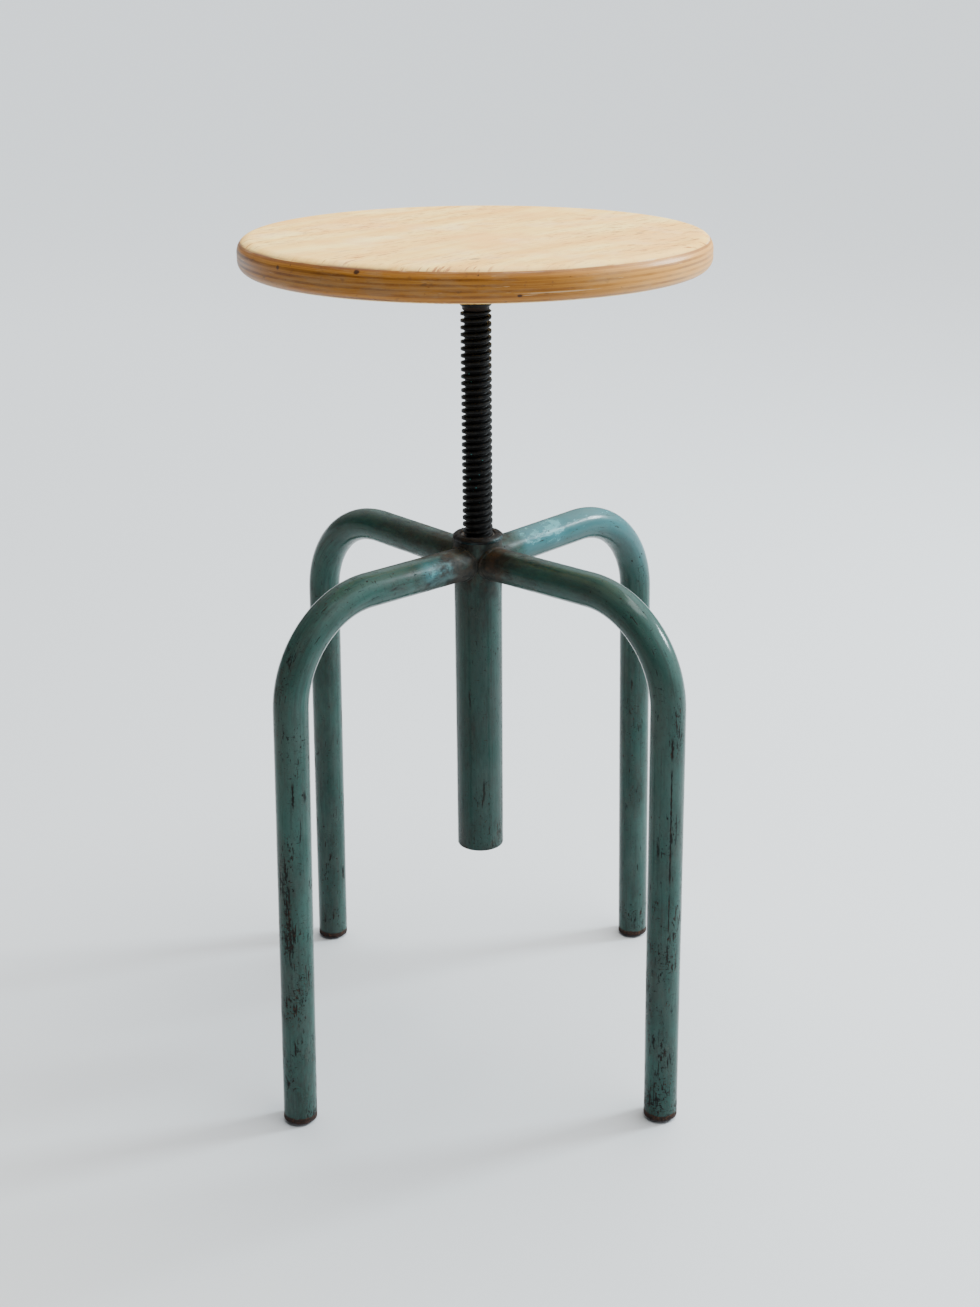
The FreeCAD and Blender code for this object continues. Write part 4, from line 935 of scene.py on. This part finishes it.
def build_plug(name, azimuth):
    """Domed steel plug in the leg's foot; its dome is worn flat where it stands."""
    az = math.radians(azimuth)
    radial = np.array([math.cos(az), math.sin(az), 0.0])
    up = np.array([0.0, 0.0, 1.0])
    side = np.cross(radial, up)
    profile = [(0.0, 16.0), (9.6, 16.0), (10.4, 15.0), (10.4, 0.1), (12.1, 0.0), (12.45, -0.25), (12.5, -0.95)]
    sphere = 33.75
    for r in (12.2, 11.6, 10.7, 9.6, 8.4, 7.2, 6.2, 5.4, 4.0, 2.0, 0.0):
        drop = 1.2 + math.sqrt(sphere ** 2 - r * r) - math.sqrt(sphere ** 2 - 12.5 ** 2)
        profile.append((r, -drop))
    seg = 56
    path = PATHS[name]
    end = path.at(path.total)[0]
    verts, rows = [], []
    for r, a in profile:
        row = []
        n = 1 if r == 0.0 else seg
        for j in range(n):
            phi = 2 * math.pi * j / seg
            rr = r
            if r > 6.0 and a < 0.05:
                rr += 0.12 * n3(math.cos(phi) * 3 + azimuth, math.sin(phi) * 3, a)
            p2 = end - path.T1 * a + path.N1 * (rr * math.cos(phi))
            p = radial * p2[0] + up * p2[1] + side * (rr * math.sin(phi))
            p[2] = max(p[2], 0.0)
            row.append(len(verts))
            verts.append(tuple(p * MM))
        rows.append(row)
    faces = []
    for lo, hi in zip(rows[:-1], rows[1:]):
        for j in range(seg):
            k = (j + 1) % seg
            if len(lo) == 1:
                faces.append((lo[0], hi[k], hi[j]))
            elif len(hi) == 1:
                faces.append((lo[j], lo[k], hi[0]))
            else:
                faces.append((lo[j], lo[k], hi[k], hi[j]))
    ob = new_object("foot_plug_%s_dome" % name, verts, faces, angle=40)
    fix_normals(ob)
    return ob


def build_nut_weld():
    """Uneven run of weld that joins the column's rim to the nut, ground off in places."""
    ti, to, rim = COL_R - COL_WALL, COL_R, COL_HIGH
    prof = [(ti - 1.6, rim + 0.1), (ti - 3.0, rim + 1.0), (ti - 2.6, rim + 1.75), (ti - 1.4, rim + 2.15), (ti + 0.2, rim + 2.3), (ti + 1.4, rim + 2.1),
            (to - 0.3, rim + 1.5), (to + 0.45, rim + 0.8), (to + 0.8, rim - 0.1), (to + 0.55, rim - 1.1), (to + 0.1, rim - 1.9), (to - 0.6, rim - 1.6), (to - 1.2, rim - 0.6)]
    # finer steps on the closed profile
    fine = []
    m = len(prof)
    for i in range(m):
        a, b = np.array(prof[i]), np.array(prof[(i + 1) % m])
        for f in (0.0, 0.5):
            fine.append(tuple(a * (1 - f) + b * f))
    seg = 200
    cr, cz = (ti + to) / 2 - 0.6, rim + 0.2
    verts, row = [], len(fine)
    for j in range(seg):
        a = 2 * math.pi * j / seg
        x, y = math.cos(a), math.sin(a)
        for r, z in fine:
            lump = 0.55 * n3(x * 3.2, y * 3.2, (r + z) * 0.16) + 0.30 * n3(x * 9.0 + 4, y * 9.0, z * 0.35) + 0.16 * n3(x * 26.0, y * 26.0, z * 0.7 + r * 0.7)
            dr, dz = r - cr, z - cz
            l = math.hypot(dr, dz) or 1.0
            out = 0.75 * lump
            verts.append(((r + out * dr / l) * x * MM, (r + out * dr / l) * y * MM, (z + out * dz / l * 0.8) * MM))
    faces = []
    for j in range(seg):
        k = (j + 1) % seg
        for i in range(row):
            l = (i + 1) % row
            faces.append((j * row + i, k * row + i, k * row + l, j * row + l))
    ob = new_object("nut_weld_bead", verts, faces, smooth=True)
    fix_normals(ob)
    return ob


# --------------------------------------------------------------------------------------
# materials of single pieces
# --------------------------------------------------------------------------------------
def spindle_material():
    t = Net("screw_black_steel")
    co = t.coords()
    xyz = t.split(co)
    r = t.m("SQRT", t.m("ADD", t.m("MULTIPLY", xyz[0], xyz[0]), t.m("MULTIPLY", xyz[1], xyz[1])))
    crest = t.range(r, 0.01045, 0.01098)
    root = t.range(r, 0.0092, 0.0083)
    a = t.noise(co, scale=300.0, detail=5.0, rough=0.6)
    colour = t.mix(t.range(a, 0.3, 0.7), (0.0028, 0.0028, 0.0030), (0.0060, 0.0058, 0.0058))
    scuff = t.noise(t.vec(co, scale=(1, 1, 0.5)), scale=520.0, detail=4.0, rough=0.65)
    colour = t.mix(t.m("MULTIPLY", crest, t.range(scuff, 0.42, 0.70, 0.0, 0.6)), colour, (0.020, 0.019, 0.018))
    colour = t.mix(t.m("MULTIPLY", root, 0.6), colour, (0.0025, 0.0022, 0.0022))
    fleck = t.voronoi(co, scale=210.0)
    specks = t.m("MULTIPLY", t.range(fleck, 0.125, 0.105), t.range(t.noise(co, scale=34.0, detail=0.0), 0.60, 0.63))
    colour = t.mix(t.m("MULTIPLY", specks, t.range(xyz[2], 0.56, 0.54)), colour, (0.040, 0.16, 0.155))
    rusty = t.noise(co, scale=230.0, detail=6.0, rough=0.7)
    colour = t.mix(t.range(rusty, 0.66, 0.76, 0.0, 0.6), colour, (0.050, 0.024, 0.014))
    # bare brown turn below the shank and the black shank above
    neck = t.m("MULTIPLY", t.range(xyz[2], 0.5831, 0.5834), t.range(xyz[2], 0.5862, 0.5857))
    colour = t.mix(t.m("MULTIPLY", neck, 0.70), colour, (0.024, 0.015, 0.010))
    t.set("Base Color", colour)
    t.set("Roughness", t.mixf(crest, t.range(a, 0.3, 0.7, 0.36, 0.50), t.range(scuff, 0.3, 0.7, 0.30, 0.46)))
    t.bsdf.inputs["Specular IOR Level"].default_value = 0.10
    t.set("Normal", t.bump(scuff, strength=0.25, distance=0.0002))
    return t.mat


def nut_weld_material():
    t = Net("rim_weld_dark")
    co = t.coords()
    a = t.noise(co, scale=170.0, detail=6.0, rough=0.68)
    colour = t.ramp(a, [(0.32, (0.0040, 0.0036, 0.0036)), (0.50, (0.0085, 0.0068, 0.0060)), (0.64, (0.020, 0.0135, 0.0100)), (0.78, (0.050, 0.028, 0.017))])
    b = t.noise(co, scale=95.0, detail=4.0, rough=0.6)
    xyz = t.split(co)
    low = t.range(xyz[2], (COL_HIGH + 0.2) * MM, (COL_HIGH - 1.2) * MM)
    teal = t.m("MAXIMUM", t.range(b, 0.66, 0.71, 0.0, 0.6), t.m("MULTIPLY", low, t.range(b, 0.48, 0.56, 0.0, 0.8)))
    side = t.m("MULTIPLY", t.range(xyz[0], 0.004, 0.012), t.range(xyz[2], (COL_HIGH + 1.6) * MM, (COL_HIGH + 0.6) * MM))
    teal = t.m("MAXIMUM", teal, t.m("MULTIPLY", side, t.range(b, 0.44, 0.50, 0.0, 0.85)))
    # lighter brown on the inner lip of the bead: grime, and partly a painted highlight along its crest
    lip_r = t.m("SQRT", t.m("ADD", t.m("MULTIPLY", xyz[0], xyz[0]), t.m("MULTIPLY", xyz[1], xyz[1])))
    lip = t.m("MULTIPLY", t.range(lip_r, 0.0148, 0.0140), t.range(xyz[2], (COL_HIGH + 1.0) * MM, (COL_HIGH + 1.6) * MM))
    colour = t.mix(t.m("MULTIPLY", lip, t.range(a, 0.40, 0.60, 0.15, 0.9)), colour, (0.040, 0.027, 0.019))
    colour = t.mix(teal, colour, (0.0120, 0.036, 0.038))
    t.set("Base Color", colour)
    t.set("Roughness", t.mixf(teal, t.range(a, 0.3, 0.7, 0.50, 0.72), 0.34))
    t.bsdf.inputs["Specular IOR Level"].default_value = 0.16
    t.set("Normal", t.bump(t.noise(co, scale=800.0, detail=4.0, rough=0.65), strength=0.5, distance=0.0004))
    return t.mat


def foot_material():
    t = Net("rusty_foot_steel")
    co = t.coords()
    a = t.noise(co, scale=330.0, detail=6.0, rough=0.7)
    colour = t.ramp(a, [(0.30, (0.0050, 0.0040, 0.0042)), (0.48, (0.013, 0.0070, 0.0068)), (0.62, (0.040, 0.016, 0.012)), (0.76, (0.110, 0.044, 0.020))])
    pale = t.noise(co, scale=190.0, detail=5.0, rough=0.7)
    colour = t.mix(t.range(pale, 0.66, 0.74, 0.0, 0.5), colour, (0.200, 0.170, 0.145))
    t.set("Base Color", colour)
    t.set("Roughness", t.range(a, 0.3, 0.7, 0.50, 0.80))
    t.set("Normal", t.bump(a, strength=0.6, distance=0.0005))
    return t.mat


STROKES = {   # (degrees round, start m, end m, half width m, wander rad, strength)
    "front_left": [(-51.0, 0.272, 0.289, 0.00070, 0.20, 1.0), (-92.0, 0.279, 0.286, 0.00110, 0.30, 0.9), (-74.0, 0.300, 0.316, 0.00040, 0.30, 0.8),
                   (-30.0, 0.352, 0.366, 0.00060, 0.20, 0.9), (-33.0, 0.388, 0.404, 0.00055, 0.25, 0.9), (-90.0, 0.092, 0.098, 0.00080, 0.60, 0.8)],
    "front_right": [(35.0, 0.242, 0.257, 0.00090, 0.12, 1.0), (35.0, 0.266, 0.352, 0.00052, 0.05, 1.0), (36.0, 0.362, 0.392, 0.00045, 0.08, 0.9),
                    (76.0, 0.322, 0.332, 0.00080, 0.50, 0.9), (16.0, 0.300, 0.322, 0.00040, 0.20, 0.9), (5.0, 0.410, 0.424, 0.00050, 0.20, 0.8)],
    "back_left": [(166.0, 0.480, 0.492, 0.00120, 0.40, 0.9), (150.0, 0.330, 0.342, 0.00050, 0.30, 0.8)],
    "back_right": [(-133.0, 0.371, 0.410, 0.00045, 0.06, 0.9), (116.0, 0.3425, 0.3450, 0.00160, 0.20, 0.8), (150.0, 0.300, 0.309, 0.00060, 0.30, 0.8)],
    "column": [(-80.0, 0.205, 0.222, 0.00050, 0.20, 0.8), (-112.0, 0.285, 0.297, 0.00045, 0.30, 0.8)],
}


def paint(ob, mat):
    ob.data.materials.clear()
    ob.data.materials.append(mat)


plywood = plywood_material("plywood_varnished")
black = dark_metal("black_steel_satin")
plate_black = dark_metal("seat_plate_black", base=(0.014, 0.013, 0.013), light=(0.034, 0.031, 0.029), rough=(0.42, 0.60), rust=0.25)
nut_black = dark_metal("nut_dark_steel", base=(0.020, 0.016, 0.013), light=(0.100, 0.070, 0.048), rough=(0.35, 0.55), rust=0.35, metallic=0.3)
disc_dark = dark_metal("guide_disc_greased", base=(0.020, 0.018, 0.016), light=(0.060, 0.054, 0.046), rough=(0.30, 0.48), rust=0.15, metallic=0.4)
zinc = zinc_metal("zinc_plated_steel")
screw_black = spindle_material()
rim_dark = nut_weld_material()
foot_steel = foot_material()

seat = build_seat()
paint(seat, plywood)
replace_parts(seat, "seat_board"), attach(seat, "seat"), seat

spindle = build_spindle()
paint(spindle, screw_black)
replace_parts(spindle, "spindle"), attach(spindle, "seat"), spindle

column = build_column()
# the column's paint is the legs' paint with painted shade over it
paint(column, paint_material("paint_column", 3.1, STROKES["column"], shade=0.26))
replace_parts(column, "column_tube"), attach(column, "frame"), column

rim = build_nut_weld()
paint(rim, rim_dark)
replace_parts(rim, "nut_weld"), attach(rim, "frame"), rim

for k, (leg, azimuth) in enumerate(LEGS.items()):
    mat = paint_material("paint_" + leg, 0.7 + 1.9 * k, STROKES[leg])
    ob = build_leg(leg, azimuth)
    paint(ob, mat)
    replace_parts(ob, "leg_" + leg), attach(ob, "frame"), ob
    ob = build_leg_weld(leg, azimuth)
    paint(ob, mat)
    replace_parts(ob, "leg_weld_" + leg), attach(ob, "frame"), ob
    ob = build_plug(leg, azimuth)
    paint(ob, foot_steel)
    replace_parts(ob, "foot_plug_" + leg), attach(ob, "frame"), ob

CARRIED = {
    "seat_plate": plate_black, "plate_weld": plate_black, "seat_screws": zinc, "spindle_nut": nut_black,
    "guide_disc": disc_dark, "end_washer": zinc, "lock_washer": zinc, "stop_bolt": zinc,
}
for node, mat in CARRIED.items():
    paint(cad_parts[node], mat)

# --------------------------------------------------------------------------------------
# studio: pale floor, soft sky that is brighter on the right, camera
# --------------------------------------------------------------------------------------
def build_floor():
    t = Net("studio_floor")
    co = t.coords()
    xyz = t.split(co)
    # painted shade: the floor gets darker and warmer towards the left front
    a = t.m("ADD", t.m("MULTIPLY", xyz[0], -0.6), t.m("MULTIPLY", xyz[1], -0.5))
    painted_shade_corner = t.range(a, 0.10, 0.75, 0.0, 1.0, smooth=True)
    colour = t.mix(painted_shade_corner, (0.600, 0.612, 0.625), (0.520, 0.508, 0.480))
    colour = t.mix(t.range(xyz[1], 0.3, 3.5, 0.0, 1.0, smooth=True), colour, (0.880, 0.900, 0.920))
    t.set("Base Color", colour)
    t.bsdf.inputs["Roughness"].default_value = 0.75
    t.bsdf.inputs["Specular IOR Level"].default_value = 0.15
    ring = [0.0, 0.5, 1.0, 2.0, 4.0, 9.0, 30.0, 90.0, 260.0]
    verts, rows = [], []
    for r in ring:
        row = []
        for j in range(1 if r == 0 else 48):
            a = 2 * math.pi * j / 48
            row.append(len(verts))
            verts.append((r * math.cos(a), r * math.sin(a), -0.0001))
        rows.append(row)
    faces = []
    for lo, hi in zip(rows[:-1], rows[1:]):
        for j in range(48):
            k = (j + 1) % 48
            faces.append((lo[0], hi[j], hi[k]) if len(lo) == 1 else (lo[j], hi[j], hi[k], lo[k]))
    ob = new_object("studio_floor", verts, faces, smooth=False)
    paint(ob, t.mat)
    return ob


def build_world():
    world = bpy.data.worlds.new("studio_world")
    bpy.context.scene.world = world
    world.use_nodes = True
    nt = world.node_tree
    nt.nodes.clear()
    out = nt.nodes.new("ShaderNodeOutputWorld")
    bg = nt.nodes.new("ShaderNodeBackground")
    nt.links.new(bg.outputs[0], out.inputs[0])
    tc = nt.nodes.new("ShaderNodeTexCoord")

    def dot(direction):
        n = nt.nodes.new("ShaderNodeVectorMath")
        n.operation = "DOT_PRODUCT"
        nt.links.new(tc.outputs["Generated"], n.inputs[0])
        d = Vector(direction).normalized()
        n.inputs[1].default_value = tuple(d)
        return n.outputs["Value"]

    def ramp(value, a, b, c, d):
        n = nt.nodes.new("ShaderNodeMapRange")
        n.interpolation_type = "SMOOTHSTEP"
        nt.links.new(value, n.inputs[0])
        for i, v in zip((1, 2, 3, 4), (a, b, c, d)):
            n.inputs[i].default_value = v
        return n.outputs[0]

    def math_(op, a, b):
        n = nt.nodes.new("ShaderNodeMath")
        n.operation = op
        for s, v in zip(n.inputs, (a, b)):
            if isinstance(v, bpy.types.NodeSocket):
                nt.links.new(v, s)
            else:
                s.default_value = v
        return n.outputs[0]

    sky = ramp(dot((0, 0, 1)), 0.02, 0.85, 0.30, 2.30)
    window = ramp(dot(WINDOW), 0.55, 0.97, 0.0, WINDOW_POWER)
    shade = ramp(dot((-0.55, -0.80, 0.10)), -0.20, 0.75, 1.0, 0.12)
    left = ramp(dot((-1.0, 0.15, 0.10)), 0.10, 0.90, 1.0, 0.50)
    total = math_("ADD", math_("MULTIPLY", math_("MULTIPLY", sky, shade), left), window)
    bg.inputs["Color"].default_value = (0.93, 0.975, 1.0, 1.0)
    nt.links.new(math_("MULTIPLY", total, WORLD_POWER), bg.inputs["Strength"])


WINDOW = (0.72, 0.02, 0.69)
WINDOW_POWER = 1.5
WORLD_POWER = 1.0
build_floor()
build_world()



def area_light(name, place, aim, width, height, power, colour):
    lamp = bpy.data.lights.new(name, "AREA")
    lamp.shape = "RECTANGLE"
    lamp.size, lamp.size_y = width, height
    lamp.energy = power
    lamp.color = colour
    ob = bpy.data.objects.new(name, lamp)
    bpy.context.scene.collection.objects.link(ob)
    ob.location = place
    ob.rotation_euler = (Vector(aim) - Vector(place)).to_track_quat("-Z", "Y").to_euler()
    return ob


area_light("overhead_softbox", (0.35, 0.25, 2.3), (0.0, 0.0, 0.5), 1.6, 1.2, 54.0, (1.0, 0.99, 0.97))
area_light("right_softbox", (2.15, 0.62, 1.45), (0.0, 0.0, 0.4), 0.50, 0.50, 84.0, (0.80, 0.94, 1.0))

YAW, PITCH_DOWN, ROLL = math.radians(-0.12), math.radians(21.213), math.radians(-0.38)
fw = Vector((math.sin(YAW) * math.cos(PITCH_DOWN), math.cos(YAW) * math.cos(PITCH_DOWN), -math.sin(PITCH_DOWN)))
rt = Vector((math.cos(YAW), -math.sin(YAW), 0.0))
upv = rt.cross(fw)
r2 = rt * math.cos(ROLL) + upv * math.sin(ROLL)
u2 = -rt * math.sin(ROLL) + upv * math.cos(ROLL)
cam = bpy.data.cameras.new("camera")
cam.lens = 47.153
cam.sensor_width = 36.0
cam.clip_start, cam.clip_end = 0.05, 600.0
cam_ob = bpy.data.objects.new("camera", cam)
cam_ob.matrix_world = Matrix((
    (r2.x, u2.x, -fw.x, 0.0110),
    (r2.y, u2.y, -fw.y, -1.215778),
    (r2.z, u2.z, -fw.z, 0.793927),
    (0, 0, 0, 1)))
bpy.context.scene.collection.objects.link(cam_ob)
bpy.context.scene.camera = cam_ob
